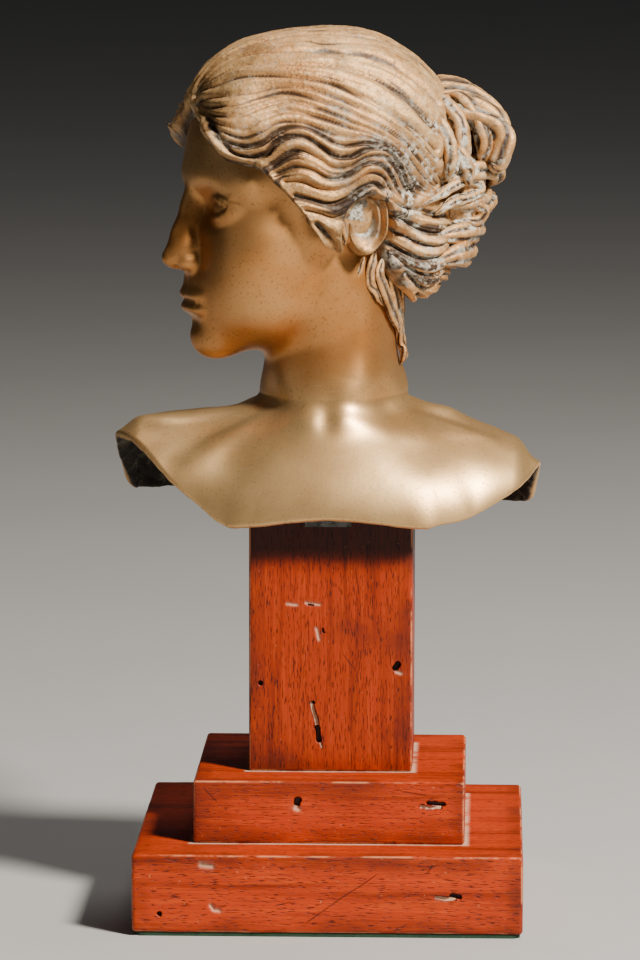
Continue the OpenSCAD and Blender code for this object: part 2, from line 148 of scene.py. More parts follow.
def egg(p, c, r):
    """Distance from an egg-shaped mass of centre c and half sizes r: k(k-1)/g.

    k is the length of the offset over r, and g the length of that over r again."""
    q = (p - np.array(c)) / np.array(r)
    k = np.sqrt((q * q).sum(-1))
    g = np.sqrt(((q / np.array(r)) ** 2).sum(-1)) + 1e-9
    return k * (k - 1) / g


def to_segment(p, a, b):
    """Distance from points to a straight line between a and b."""
    a = np.array(a, dtype=float)
    b = np.array(b, dtype=float)
    ab = b - a
    t = np.clip(((p - a) @ ab) / (ab @ ab), 0, 1)
    return np.linalg.norm(p - a - t[..., None] * ab, axis=-1)


def to_polyline(p, knots):
    """Shortest distance from points to a line through the knots."""
    return np.minimum.reduce([to_segment(p, a, b) for a, b in zip(knots[:-1], knots[1:])])


def head_to_world(p):
    """Millimetres in the head's own frame to the row's frame: turned about the neck's axis."""
    x, y, z = p[..., 0], p[..., 1] - NECK_BACK, p[..., 2]
    s, c = math.sin(-HEAD_TURN), math.cos(-HEAD_TURN)
    return np.stack([NECK_X + c * x - s * y, NECK_Y + s * x + c * y, CHIN_Z + z], -1)


# ---- meshes from grids ----

def grid_quads(rows, cols, base=0, flip=False, closed=True):
    """Quads between the rows of a grid. Each row is a closed loop unless closed is false."""
    r = np.arange(rows - 1)[:, None]
    c = np.arange(cols if closed else cols - 1)[None, :]
    n = (c + 1) % cols
    a, b = r * cols + c, r * cols + n
    q = np.stack([a, b, b + cols, a + cols], -1).reshape(-1, 4) + base
    return q[:, ::-1] if flip else q


def join_rows(row_a, row_b, cols, flip=False):
    """Quads between two closed rows that start at the indices row_a and row_b."""
    c = np.arange(cols)
    n = (c + 1) % cols
    q = np.stack([row_a + c, row_a + n, row_b + n, row_b + c], -1)
    return q[:, ::-1] if flip else q


def pole_tris(row, tip, cols, flip=False):
    """Triangles between a closed row and a single point."""
    c = np.arange(cols)
    t = np.stack([row + c, row + (c + 1) % cols, np.full(cols, tip)], -1)
    return t[:, ::-1] if flip else t


def build_mesh(name, points, quads, tris=None, marks=None, flat=0):
    """A mesh object from points in millimetres, quads, triangles and per-point attributes.

    The last quads, as many as flat says, are shaded flat, so the skins they join stay smooth."""
    points = np.asarray(points, dtype=np.float32).reshape(-1, 3) * MM
    quads = np.asarray(quads, dtype=np.int32).reshape(-1, 4)
    tris = np.zeros((0, 3), np.int32) if tris is None else np.asarray(tris, np.int32)
    mesh = bpy.data.meshes.new(name)
    mesh.vertices.add(len(points))
    mesh.vertices.foreach_set("co", points.ravel())
    loops = np.concatenate([quads.ravel(), tris.ravel()])
    sizes = np.concatenate([np.full(len(quads), 4, np.int32), np.full(len(tris), 3, np.int32)])
    starts = np.concatenate([[0], np.cumsum(sizes)[:-1]]).astype(np.int32)
    mesh.loops.add(len(loops))
    mesh.loops.foreach_set("vertex_index", loops)
    mesh.polygons.add(len(sizes))
    mesh.polygons.foreach_set("loop_start", starts)
    mesh.polygons.foreach_set("loop_total", sizes)
    smooth = np.ones(len(sizes), dtype=bool)
    smooth[len(quads) - flat:len(quads)] = False
    mesh.polygons.foreach_set("use_smooth", smooth)
    for key, values in (marks or {}).items():
        layer = mesh.attributes.new(key, "FLOAT", "POINT")
        layer.data.foreach_set("value", np.asarray(values, np.float32).ravel())
    mesh.update(calc_edges=True)
    mesh.validate()
    piece = bpy.data.objects.new(name, mesh)
    bpy.context.scene.collection.objects.link(piece)
    return piece


def surface_normals(grid):
    """Unit normals of a grid of closed rows (rows, cols, 3) from its central differences."""
    along = np.roll(grid, -1, 1) - np.roll(grid, 1, 1)
    down = np.gradient(grid, axis=0)
    n = np.cross(along, down)
    return n / (np.linalg.norm(n, axis=-1, keepdims=True) + 1e-12)


def turned_level(normals, share):
    """Normals brought level, by as much as the share falls short of 1."""
    level = unit(normals * np.array([1, 1, 0]))
    return level * (1 - share) + normals * share


# ---- the forms of the head ----
# Head frame in millimetres: the face looks to -Y, the chin is at z = 0, mirrored about x = 0.

SKULL = [
    ((0, 6, 75), (36, 45, 41), 4),
    ((0, -13, 62), (31, 31.5, 34), 12),
    ((0, -13.5, 80), (28.5, 31, 27), 10),
    ((0, -16, 40), (26.5, 28.5, 30), 9),
    ((0, -16, 21), (21.5, 27, 18), 9),
]
FACE = [
    ((18.5, 1, 27), (7.2, 12, 15), 8),        # corner of the jaw
    ((0, -36.2, 8.2), (8.6, 9.2, 8), 9),      # chin
    ((18.5, -24.5, 42), (12, 13.5, 13), 12),  # cheekbone
    ((12.5, -26.5, 27), (12, 14, 14), 12),    # cheek
    ((0, -37.0, 68), (17, 8.2, 7), 8),        # forehead between the brows
    ((18.5, -30.4, 67.2), (9.5, 6.3, 5.0), 9),  # outer half of the brow
    ((0, -39.8, 27), (9, 7, 9), 7),           # muzzle under the nose
]
EYE_C = (15.2, -31.6, 57.0)
EYE_R = 9.6


def eye_field(q):
    """Eyeball with its lids: a ball whose radius grows where the lids cover it.

    The opening is an almond between two arcs, in across and height from the ball's centre."""
    v = q - np.array(EYE_C)
    d = np.linalg.norm(v, axis=-1)
    x = v[..., 0] / 7.6
    arch = np.clip(1 - x * x, 0, 1)
    tilt = 0.4 * x
    upper = 3.3 * arch ** 0.65 + tilt
    lower = -2.4 * arch ** 0.8 + tilt
    gap = np.maximum(v[..., 2] - upper, lower - v[..., 2])
    gap = np.maximum(gap, (np.abs(x) - 0.93) * 6)
    lid = ease(gap / 0.9 + 0.35)
    crease = bell(v[..., 2] - upper - 2.5, 0.8) * (v[..., 1] < 0)
    return d - (EYE_R + 1.5 * lid - 0.9 * crease * lid)


def nose_field(q):
    """Bridge, tip and wing, with the nostril scooped from below."""
    bridge = egg(q, (0, -44.2, 51), (4.2, 6.4, 14))
    ridge = egg(q, (0, -48.5, 43.5), (3.4, 5.6, 8.5))
    tip = egg(q, (0, -52.0, 38.3), (3.9, 4.8, 3.9))
    side = egg(q, (2.6, -47.2, 41), (3.7, 6, 6.5))
    wing = egg(q, (4.6, -47.4, 36.8), (2.7, 4.3, 3.1))
    base = egg(q, (0, -48.6, 35.4), (1.9, 4.6, 2.2))
    d = blend(bridge, ridge, 4)
    d = blend(d, tip, 3.5)
    d = blend(d, side, 3)
    d = blend(d, wing, 1.6)
    d = blend(d, base, 1.5)
    return carve(d, egg(q, (2.7, -48.9, 34.0), (1.25, 2.5, 1.4)), 0.8)


def lips_field(q):
    """Two soft rolls for each lip, the upper with a bow, parted by a fine line."""
    x = q[..., 0]
    line = 22.4 - 0.012 * x * x - 0.4 * bell(x, 2.0)
    upper = blend(egg(q, (3.4, -44.0, 24.6), (7.6, 4.3, 2.3)),
                  egg(q, (0, -45.2, 24.2), (2.4, 3.8, 2.2)), 1.5)
    lower = blend(egg(q, (2.6, -43.6, 19.6), (7.2, 4.6, 3.0)),
                  egg(q, (0, -43.8, 19.6), (3.6, 4.4, 2.7)), 2)
    d = blend(upper, lower, 1.0)
    slim = 0.85 - 0.06 * np.abs(x)
    part = np.sqrt(((q[..., 2] - line) / slim) ** 2 + ((q[..., 1] + 48.6) / 3.2) ** 2) - 1
    part = np.maximum(part * 0.8, np.abs(x) - 10.0)
    return d, part


def face_field(p):
    """The bare head: skull and face masses, eyes, nose and lips, blended one by one."""
    q = p.copy()
    q[..., 0] = np.abs(q[..., 0])
    d = egg(q, *SKULL[0][:2])
    for c, r, k in SKULL[1:] + FACE:
        d = blend(d, egg(q, c, r), k)
    d = carve(d, egg(q, (15.4, -47.8, 57.6), (12.0, 8.6, 7.4)), 5)
    d = carve(d, egg(q, (6.6, -50.0, 57), (2.6, 6.6, 4.8)), 4)
    d = blend(d, eye_field(q), 1.0)
    d = blend(d, nose_field(q), 3.0)
    lips, part = lips_field(q)
    d = blend(d, lips, 2.4)
    d = carve(d, part, 0.9)
    d = carve(d, egg(q, (0, -51.0, 29.8), (1.7, 3.0, 3.4)), 2.4)     # groove above the lip
    d = carve(d, egg(q, (0, -50.4, 14.6), (7.5, 5.4, 2.4)), 3.5)     # fold below the lip
    return d


NECK_TOP = 30.0


def neck_field(p):
    """Upright round bar about the neck's axis, ending inside the skull."""
    v = np.stack([p[..., 0], p[..., 1] - NECK_BACK, np.maximum(p[..., 2] - NECK_TOP, 0)], -1)
    return np.linalg.norm(v, axis=-1) - NECK_R + 1.8 * ease((p[..., 2] + CHIN_RISE) / 20)


def bare_head(p):
    """Face and neck as one form, without hair or ears."""
    return blend(face_field(p), neck_field(p), 6)


HAIR = [
    ((0, 10, 78), (39, 45.5, 43.0), 3),
    ((0, -10, 87), (33, 36.5, 32), 8),
    ((19, -25, 84), (15.5, 20, 15), 6),
    ((24, -6, 72), (14, 26, 22), 8),
    ((30, 4, 60), (10.5, 23, 18), 6),
    ((0, 36, 46), (26, 16, 20), 7),
    ((13, 33, 40), (15, 15, 17), 5),
]


def hair_field(p):
    """The mass of the dressed hair over skull, temples and nape."""
    q = p.copy()
    q[..., 0] = np.abs(q[..., 0])
    d = egg(q, *HAIR[0][:2])
    for c, r, k in HAIR[1:]:
        d = blend(d, egg(q, c, r), k)
    return d


def reach(field, origin, ray, low, high, steps=15):
    """Distance along each ray at which a form ends, by halving the span."""
    lo = np.full(ray.shape[:-1], float(low))
    hi = np.full(ray.shape[:-1], float(high))
    for _ in range(steps):
        mid = (lo + hi) / 2
        outside = field(origin + ray * mid[..., None]) > 0
        hi = np.where(outside, mid, hi)
        lo = np.where(outside, lo, mid)
    return (lo + hi) / 2


# ---- muscles and bones under the skin of neck and shoulders, in the row's frame ----

def on_bust(x, y, z):
    """A point given from the neck's axis and the neck's joint."""
    return (NECK_X + x, NECK_Y + y, JOIN_Z + z)


def anatomy(p):
    """How far the skin is lifted at each point: soft ridges along lines, soft hollows at points.

    Each is a bell curve of the distance times its height."""
    lift = np.zeros(p.shape[:-1])
    ear_left = head_to_world(np.array([27.0, 17.0, 33.0]))
    ear_right = head_to_world(np.array([-27.0, 17.0, 33.0]))
    ridges = [
        ([tuple(ear_left), on_bust(12, -23, 6), on_bust(5, -29, -5)], 1.1, 6.5),
        ([tuple(ear_right), on_bust(-17, -20, 4), on_bust(-7, -29, -5)], 0.9, 6.5),
        ([on_bust(5, -30, -7), on_bust(24, -30, -7), on_bust(46, -22, -9),
          on_bust(66, -14, -17)], 1.1, 5.0),
        ([on_bust(-6, -30, -7), on_bust(-24, -30, -7), on_bust(-46, -22, -6),
          on_bust(-68, -12, -11)], 1.1, 5.0),
        ([on_bust(15, 20, 14), on_bust(27, 10, 2), on_bust(42, 6, -6)], 4.4, 9.5),
        ([on_bust(-15, 20, 14), on_bust(-30, 10, -1), on_bust(-46, 6, -4)], 2.4, 9.0),
    ]
    hollows = [
        (on_bust(-1, -30, -5), 1.3, 5.5),
        (on_bust(22, -16, -2), 1.8, 8.5),
        (on_bust(-25, -16, -1), 1.8, 8.5),
        (on_bust(34, -34, -16), 0.9, 10.0),
        (on_bust(-36, -34, -15), 0.9, 10.0),
        (on_bust(0, 40, -12), 1.4, 9.0),
    ]
    for knots, height, width in ridges:
        lift += height * bell(to_polyline(p, knots), width)
    for c, depth, width in hollows:
        lift -= depth * bell(np.linalg.norm(p - np.array(c), axis=-1), width)
    lift += 0.05 * noise3(p, 12.0, 5) + 0.015 * noise3(p, 3.5, 6)
    return lift


# ---- head and neck ----

RAY_Z = 40.0
TUCK = 2.4                                   # how far head and shoulders reach into each other
HOLLOW_RISE = 102.0                          # height of the hollow inside the head
HOLLOW_STRAIGHT = 0.3                        # the share of it that is straight, under its dome


def head_rays(cols, rows):
    """Origins and directions of the rays that find the head's surface.

    Rows rise from level rays up the neck to rays from the head's middle that swing to the crown.
    Columns are closer over the face, and rows are closer between chin and brow."""
    a = np.arange(cols) / cols * 2 * math.pi
    a = a - 0.72 * np.sin(a)
    low = -np.arctan((RAY_Z + 3 - 10 * (1 - np.cos(a))) / NECK_R)
    t = np.linspace(0, 1, rows)
    t = t - 0.12075 * np.sin(2 * math.pi * t)
    e = low[None, :] + (math.pi / 2 - low[None, :]) * t[:, None]
    flat_ray = np.stack([np.sin(a), -np.cos(a), np.zeros(cols)], -1)
    rays = np.cos(e)[..., None] * flat_ray[None] + np.sin(e)[..., None] * np.array([0, 0, 1.0])
    return flat_ray, rays


def head_surface(cols=300, rows=280, neck_rows=30):
    """Points of the skin of head and neck in the row's frame, rows from the joint to the crown."""
    flat_ray, rays = head_rays(cols, rows)
    origin = np.array([0, NECK_BACK, RAY_Z])
    upper = origin + rays * reach(bare_head, origin, rays, 5, 95)[..., None]
    neck_edge = upper[0]
    t = np.linspace(0, 1, neck_rows, endpoint=False)[:, None]
    z = -CHIN_RISE - TUCK + (neck_edge[None, :, 2] + CHIN_RISE + TUCK) * t
    start = np.zeros((neck_rows, cols, 3))
    start[..., 1] = NECK_BACK
    start[..., 2] = z
    ray = np.broadcast_to(flat_ray[None], (neck_rows, cols, 3))
    lower = start + ray * reach(bare_head, start, ray, 5, 60)[..., None]
    grid = head_to_world(np.concatenate([lower, upper[:-1]], 0))
    n = turned_level(surface_normals(grid), ease((grid[..., 2] - JOIN_Z) / 6)[..., None])
    fade = ease((CHIN_Z + 48 - grid[..., 2]) / 14)
    grid = grid + n * (anatomy(grid) * fade)[..., None]
    crown = head_to_world(upper[-1, :1])[0]
    return grid, crown


def make_head():
    """Head and neck as one skin with a domed hollow that opens at the neck's joint."""
    grid, crown = head_surface()
    rows, cols = grid.shape[:2]
    inner_rows = 14
    mid = np.array([NECK_X, NECK_Y])
    inner = []
    for j in range(inner_rows):
        t = j / (inner_rows - 1)
        ring = grid[0].copy()
        dome = max(t - HOLLOW_STRAIGHT, 0) / (1 - HOLLOW_STRAIGHT)
        shrink = (NECK_R - SHELL_WALL) / NECK_R * math.sqrt(1 - 0.98 * dome ** 2)
        ring[:, :2] = mid + (ring[:, :2] - mid) * shrink
        ring[:, 2] = JOIN_Z - TUCK + t * HOLLOW_RISE
        inner.append(ring)
    inner = np.array(inner)
    points = np.concatenate([grid.reshape(-1, 3), inner.reshape(-1, 3), [crown],
                             [[mid[0], mid[1], JOIN_Z + HOLLOW_RISE - 1]]])
    first = rows * cols
    poles = first + inner_rows * cols
    quads = np.concatenate([grid_quads(rows, cols), grid_quads(inner_rows, cols, first, True),
                            join_rows(first, 0, cols)])
    tris = np.concatenate([pole_tris((rows - 1) * cols, poles, cols),
                           pole_tris(first + (inner_rows - 1) * cols, poles + 1, cols, True)])
    return build_mesh("head_skin", points, quads, tris, flat=cols)


# ---- shoulders ----

CHEST_W, CHEST_D, BACK_D = 86.0, 44.0, 42.0
CHEST_DROP, CHEST_ARCH = 12.5, 3.5
LEFT_HALF, RIGHT_HALF = 81.0, 77.0
LEFT_TIP, RIGHT_TIP = 18.0, 7.5
LEFT_BACK, RIGHT_BACK = -7.0, -11.5
LEFT_RISES, RIGHT_RISES = (0.52, 0.82, 0.97), (0.28, 0.50, 0.74)
NECK_RISE = JOIN_Z - POST_TOP
COLLAR = (1.0, 0.6, 0.25)                    # rows that reach up into the neck, as shares of TUCK
SMOOTH_ROWS = 9                              # rows by the neck whose inner side isn't rough
LIP_ROWS = 7                                 # rows of the half round along the lower edge


def rim_side(s, half, tip, back, rises):
    """Knots of the lower edge on one side, from the corner of the chest to the middle back."""
    low = -CHEST_DROP
    up = tip - low
    fall = tip - back
    shares = [(0.72, -CHEST_D * 0.76, low + up * rises[0]),
              (0.83, -CHEST_D * 0.60, low + up * rises[1]),
              (0.93, -CHEST_D * 0.38, low + up * rises[2]), (0.99, -CHEST_D * 0.14, tip),
              (1.0, BACK_D * 0.16, tip - fall * 0.15), (0.995, BACK_D * 0.44, tip - fall * 0.50),
              (0.97, BACK_D * 0.68, tip - fall * 0.93), (0.87, BACK_D * 0.82, back),
              (0.50, BACK_D * 0.97, back)]
    corner = [(s * CHEST_W * 0.36, -CHEST_D + 1.6, low + 0.4),
              (s * CHEST_W * 0.47, -CHEST_D + 4.6, low + 1.3),
              (s * (CHEST_W / 2 + 6), -CHEST_D + 8.0, low + up * rises[0] * 0.5)]
    return corner + [(s * half * k, y, z) for k, y, z in shares]


def closed_curve(knots, shares):
    """Smooth closed line through the knots: a cubic of four neighbours (Catmull-Rom)."""
    k = np.array(knots, dtype=float)
    n = len(k)
    u = np.mod(shares, 1.0) * n
    i = np.floor(u).astype(int)
    t = (u - i)[..., None]
    a, b, c, d = k[(i - 1) % n], k[i % n], k[(i + 1) % n], k[(i + 2) % n]
    return 0.5 * (2 * b + (c - a) * t + (2 * a - 5 * b + 4 * c - d) * t ** 2
                  + (3 * b - a - 3 * c + d) * t ** 3)


def rim_curve(shares):
    """The lower edge of the shoulders, from the middle of the chest and round by -X."""
    middle_back = (0, BACK_D, (LEFT_BACK + RIGHT_BACK) / 2)
    knots = ([(0, -CHEST_D, CHEST_ARCH - CHEST_DROP)]
             + rim_side(-1, LEFT_HALF, LEFT_TIP, LEFT_BACK, LEFT_RISES) + [middle_back]
             + rim_side(1, RIGHT_HALF, RIGHT_TIP, RIGHT_BACK, RIGHT_RISES)[::-1])
    return closed_curve(knots, shares)


def shoulder_sheet(cols, rows):
    """The outer skin: one cubic from the neck's ring to each point of the lower edge.

    The edge's corners are rounded off away from the edge, by averages of its neighbours.
    The cubic leaves the ring downwards and comes over the arms' stumps level, so the
    shoulders are broad; between, over chest and back, it falls steeply."""
    edge = rim_curve(np.arange(cols) / cols)
    soft = edge
    for shift in (4, 7, 11):
        soft = (np.roll(soft, shift, 0) + soft + np.roll(soft, -shift, 0)) / 3
    out = unit(soft[:, :2] - np.array([NECK_X, NECK_Y]))
    out3 = np.concatenate([out, np.zeros((cols, 1))], -1)
    start = np.array([NECK_X, NECK_Y, NECK_RISE]) + NECK_R * out3
    fall = NECK_RISE - edge[:, 2]
    tip = ease((edge[:, 2] + 6) / 22) * ease((np.abs(edge[:, 0]) - CHEST_W / 2) / 22)
    up = np.array([0, 0, 1.0])
    c1 = start - up * (0.22 * fall + 2)[:, None] + out3
    c2 = (soft + up * ((0.52 - 0.18 * tip) * fall)[:, None]
          - out3 * (2 + 19 * tip)[:, None])
    t = np.linspace(0, 1, rows)[:, None, None]
    corner = ease((t - 0.45) / 0.55)
    grid = ((1 - t) ** 3 * start + 3 * (1 - t) ** 2 * t * c1 + 3 * (1 - t) * t ** 2 * c2
            + t ** 3 * (soft + (edge - soft) * corner))
    return grid + np.array([0, 0, POST_TOP])


def round_of_shoulder(base):
    """How far the skin is pushed out where the muscle rounds each shoulder, short of its stump."""
    half = np.where(base[..., 0] < NECK_X, LEFT_HALF, RIGHT_HALF)
    across = np.abs(base[..., 0] - NECK_X) / half
    plump = 4.6 * ease((across - 0.40) / 0.38) * ease((1.0 - across) / 0.13)
    return plump * bell(base[..., 1] - 4, 26.0)


def make_shoulders():
    """Chest, shoulders and upper back as one shell, open below.

    The outer skin takes the lift of bones and muscles along its normals. The inner skin
    is the outer one moved in by the wall and roughened, and a half round joins them below."""
    cols, rows = 420, 96
    base = shoulder_sheet(cols, rows)
    share = ease((JOIN_Z - base[..., 2]) / 7)[..., None]
    push = unit(turned_level(surface_normals(base), share))
    skin = base + push * (anatomy(base) + round_of_shoulder(base))[..., None]
    collar = []
    for rise in np.array(COLLAR) * TUCK:
        ring = base[0] + np.array([0, 0, rise]) - push[0] * (1.8 * ease(rise / 20) + 0.03 * rise)
        collar.append(ring + push[0] * anatomy(ring)[:, None])
    skin = np.concatenate([collar, skin], 0)
    push = np.concatenate([np.repeat(push[:1], len(collar), 0), push], 0)
    base = np.concatenate([np.repeat(base[:1], len(collar), 0), base], 0)
    rows += len(collar)
    grain = 0.35 * noise3(base, 4.0, 21) + 0.25 * noise3(base, 1.8, 22)
    wall = SHELL_WALL + grain * 1.6
    inner = skin - push * wall[..., None]
    inner[:SMOOTH_ROWS] = skin[:SMOOTH_ROWS] - push[:SMOOTH_ROWS] * SHELL_WALL
    # The half round between the two skins bulges along the way the skin was running.
    run = unit(skin[-1] - skin[-2])
    mid = (skin[-1] + inner[-1]) / 2
    half = (skin[-1] - inner[-1]) / 2
    span = np.linalg.norm(half, axis=-1, keepdims=True)
    turn = np.linspace(0, math.pi, LIP_ROWS + 2)[1:-1][:, None, None]
    lip = mid + half * np.cos(turn) + run * span * np.sin(turn) * 0.75
    points = np.concatenate([skin, lip, inner[::-1]], 0)
    count = points.shape[0]
    quads = np.concatenate([grid_quads(count, cols), join_rows((count - 1) * cols, 0, cols)])
    inside = np.concatenate([np.zeros(rows), np.linspace(0, 1, LIP_ROWS), np.ones(rows)])
    inside = np.repeat(inside[:, None], cols, 1)
    return build_mesh("shoulder_skin", points, quads, marks={"inside": inside}, flat=cols)


# ---- dressed hair ----

HAIR_C = np.array([0.0, 9.0, 60.0])
STRAIGHT_BACK = np.array([0.0, 1.0, 0.0])
HAIR_WALL = 8.5
EAR_MIDDLE, EAR_HALF = (10.5, 50.5), (9.6, 11.8)     # the bay for the ear, as (back, up)
# Hairline: angle round the fore-and-aft axis from the crown, and angle from straight back.
HAIRLINE = [(0, 145), (12, 148), (24, 149.5), (41, 149), (56, 147), (64, 140), (69, 135), (78, 130),
            (92, 123), (103, 115), (112, 110), (118, 107), (123, 95), (128, 81), (136, 72),
            (150, 62), (165, 55), (180, 52)]

# Lines that part one lock from the next, front to back. A knot is (back, up) on the side of
# the head, or (back, angle from the crown) where the line is marked as "over". Then the
# groove's depth and half width, and the height of the lock that lies below the line.
PARTINGS = [
    ("over", [(-45, 1), (-30, 1), (-10, 1), (12, 1), (34, 1), (50, 2)], 1.0, 0.8, 0.6),
    ("over", [(-42, 3), (-30, 6), (-14, 9), (5, 11), (25, 13), (44, 17)], 0.9, 0.8, 0.7),
    ("over", [(-44, 4), (-39, 9), (-32, 12), (-22, 17), (-13, 20), (-2, 22), (9, 24), (20, 26),
              (30, 30), (41, 36)], 1.4, 0.9, 0.9),
    ("over", [(-43, 6), (-39, 13), (-32, 17), (-22, 23), (-12, 27), (0, 30), (12, 34), (24, 40),
              (36, 48)], 1.0, 0.8, 0.8),
    ("over", [(-44, 7), (-39, 18), (-31, 24), (-22, 29), (-12, 33), (-2, 37), (9, 43), (20, 49),
              (30, 54), (38, 60)], 1.3, 0.8, 0.9),
    ("side", [(-44, 96), (-39, 97.5), (-31, 99), (-21, 101.5), (-11, 101), (-2, 98), (9, 93),
              (19, 87.5), (28, 81), (35, 74), (43, 66)], 1.0, 0.7, 0.8),
    ("side", [(-44.5, 95), (-41, 94), (-35, 95), (-27, 98), (-18, 99.5), (-8, 97), (2, 93.5),
              (13, 88), (23, 82), (31.5, 74), (41, 65)], 1.2, 0.8, 0.8),
    ("side", [(-44.5, 93.5), (-42, 91), (-36, 91), (-27, 94.5), (-18, 96.5), (-8, 94), (2, 90),
              (12, 85.5), (22, 80), (30, 72), (40, 64)], 0.9, 0.7, 0.8),
    ("side", [(-44.5, 92), (-42, 88.5), (-36, 87), (-28, 90.5), (-19, 93), (-9, 91), (2, 87.5),
              (12, 84), (22, 78.5), (29, 71), (39, 63)], 0.9, 0.7, 0.6),
    ("side", [(-44, 90), (-42, 86), (-36, 84), (-29, 86), (-23, 89), (-15, 89), (-8, 86.5), (1, 84),
              (12, 82.5), (21, 78), (28, 70.5), (38, 62.5)], 1.3, 0.9, 1.0),
    ("side", [(-44, 88), (-41, 83), (-36, 81), (-29, 82), (-24.5, 85), (-19, 87), (-12, 86.5),
              (-6, 83.5), (1, 81), (9, 81), (18, 79.5), (24, 75), (28.5, 68), (37, 61.5),
              (45, 60)], 2.2, 1.2, 1.8),
    ("side", [(-43, 84), (-38, 78.5), (-32, 77), (-27, 78), (-24, 81.5), (-19, 83.5), (-13, 83),
              (-7, 79.5), (-3, 77), (3, 76.5), (9, 78.5), (17, 78), (22.5, 72.5), (27, 66),
              (35, 60.5), (44, 58.5)], 2.0, 1.0, 1.9),
    ("side", [(-25, 74), (-20, 77.5), (-14.5, 78.5), (-9, 76), (-4, 73), (2, 73), (8, 75.5),
              (15, 75.5), (20.5, 71), (25, 64.5), (33, 59.5), (43, 57)], 1.2, 0.8, 1.2),
    ("side", [(-23, 71), (-17, 73), (-11, 72), (-5, 69), (2, 70), (8, 73.5), (14, 73), (18.5, 69),
              (22.5, 63), (30, 58.5)], 1.8, 1.0, 1.8),
    ("side", [(-20, 68), (-14.5, 68), (-8.5, 65.5), (-2, 65), (4, 67.5), (9.5, 70.5), (15, 69),
              (18, 65), (22, 60.5)], 1.0, 0.8, 1.1),
    ("side", [(-16.5, 63), (-11, 61.5), (-5, 60), (1, 62), (5.5, 65), (11, 67),
              (15, 65)], 1.9, 1.0, 1.6),
    ("side", [(-13, 58), (-8, 56.5), (-3, 55), (2, 57), (6.5, 61), (11, 63.5)], 1.2, 0.8, 1.2),
    ("side", [(-9, 53), (-5, 49), (-2, 46), (0, 42)], 1.5, 0.9, 1.0),
]
NAPE_PARTINGS = [
    ("side", [(18, 61), (24, 58), (32, 56), (39, 54), (46, 53)], 1.4, 0.9, 1.4),
    ("side", [(18, 55), (26, 53), (33, 49), (40, 47.5), (47, 48.5)], 2.2, 1.1, 2.2),
    ("side", [(19.5, 50), (27, 47), (34, 43.5), (41, 43), (47, 45.5)], 1.3, 0.8, 1.5),
    ("side", [(21, 45), (27, 41), (34, 38), (42, 38.5), (47, 42)], 2.3, 1.1, 2.3),
    ("side", [(24, 40), (30, 35), (37, 33), (44, 35), (47, 39)], 1.4, 0.8, 1.6),
    ("side", [(29, 33), (35, 28), (41, 28.5), (45, 32)], 2.0, 1.0, 1.8),
    ("side", [(34, 26), (39, 23), (44, 27)], 1.4, 0.9, 1.2),
]
# Swellings and hollows under the locks: place in the head's frame, height, width.
SWELLS = [((38, -14, 80), 2.2, 8.0), ((38, 12, 75), 2.4, 8.5), ((39, -1, 81), -1.4, 6.0),
          ((39, -2, 62), -0.8, 6.0), ((31, -35, 83), -1.6, 5.5), ((26, -38, 90), 1.4, 7.0),
          ((30, 30, 64), -1.8, 7.0)]


def smooth_line(knots, per_gap=5):
    """Points of a smooth open line through the knots: a cubic of four neighbours."""
    k = np.array(knots, dtype=float)
    k = np.concatenate([[2 * k[0] - k[1]], k, [2 * k[-1] - k[-2]]])
    n = len(k) - 3
    u = np.linspace(0, n, n * per_gap + 1)
    i = np.minimum(np.floor(u).astype(int), n - 1)
    t = (u - i)[:, None]
    a, b, c, d = k[i], k[i + 1], k[i + 2], k[i + 3]
    return 0.5 * (2 * b + (c - a) * t + (2 * a - 5 * b + 4 * c - d) * t ** 2
                  + (3 * b - a - 3 * c + d) * t ** 3)


def lay_on_hair(kind, knots):
    """Head-frame points of a line laid on the mass of the hair."""
    line = smooth_line(knots)
    start = np.zeros((len(line), 3))
    start[:, 1] = line[:, 0]
    ray = np.zeros_like(start)
    if kind == "over":
        a = np.radians(line[:, 1])
        start[:, 2] = HAIR_C[2]
        ray[:, 0], ray[:, 2] = np.sin(a), np.cos(a)
    else:
        start[:, 2] = line[:, 1]
        ray[:, 0] = 1.0
    return start + ray * reach(hair_field, start, ray, 0, 70)[:, None]


def line_distance(p, line):
    """Shortest distance from each point to a line of many short pieces."""
    a, ab = line[:-1], np.diff(line, axis=0)
    length2 = (ab * ab).sum(1)
    best = np.full(len(p), 1e9)
    for i in range(len(a)):
        v = p - a[i]
        t = np.clip(v @ ab[i] / length2[i], 0, 1)
        w = v - t[:, None] * ab[i]
        best = np.minimum(best, np.einsum("ij,ij->i", w, w))
    return np.sqrt(best)


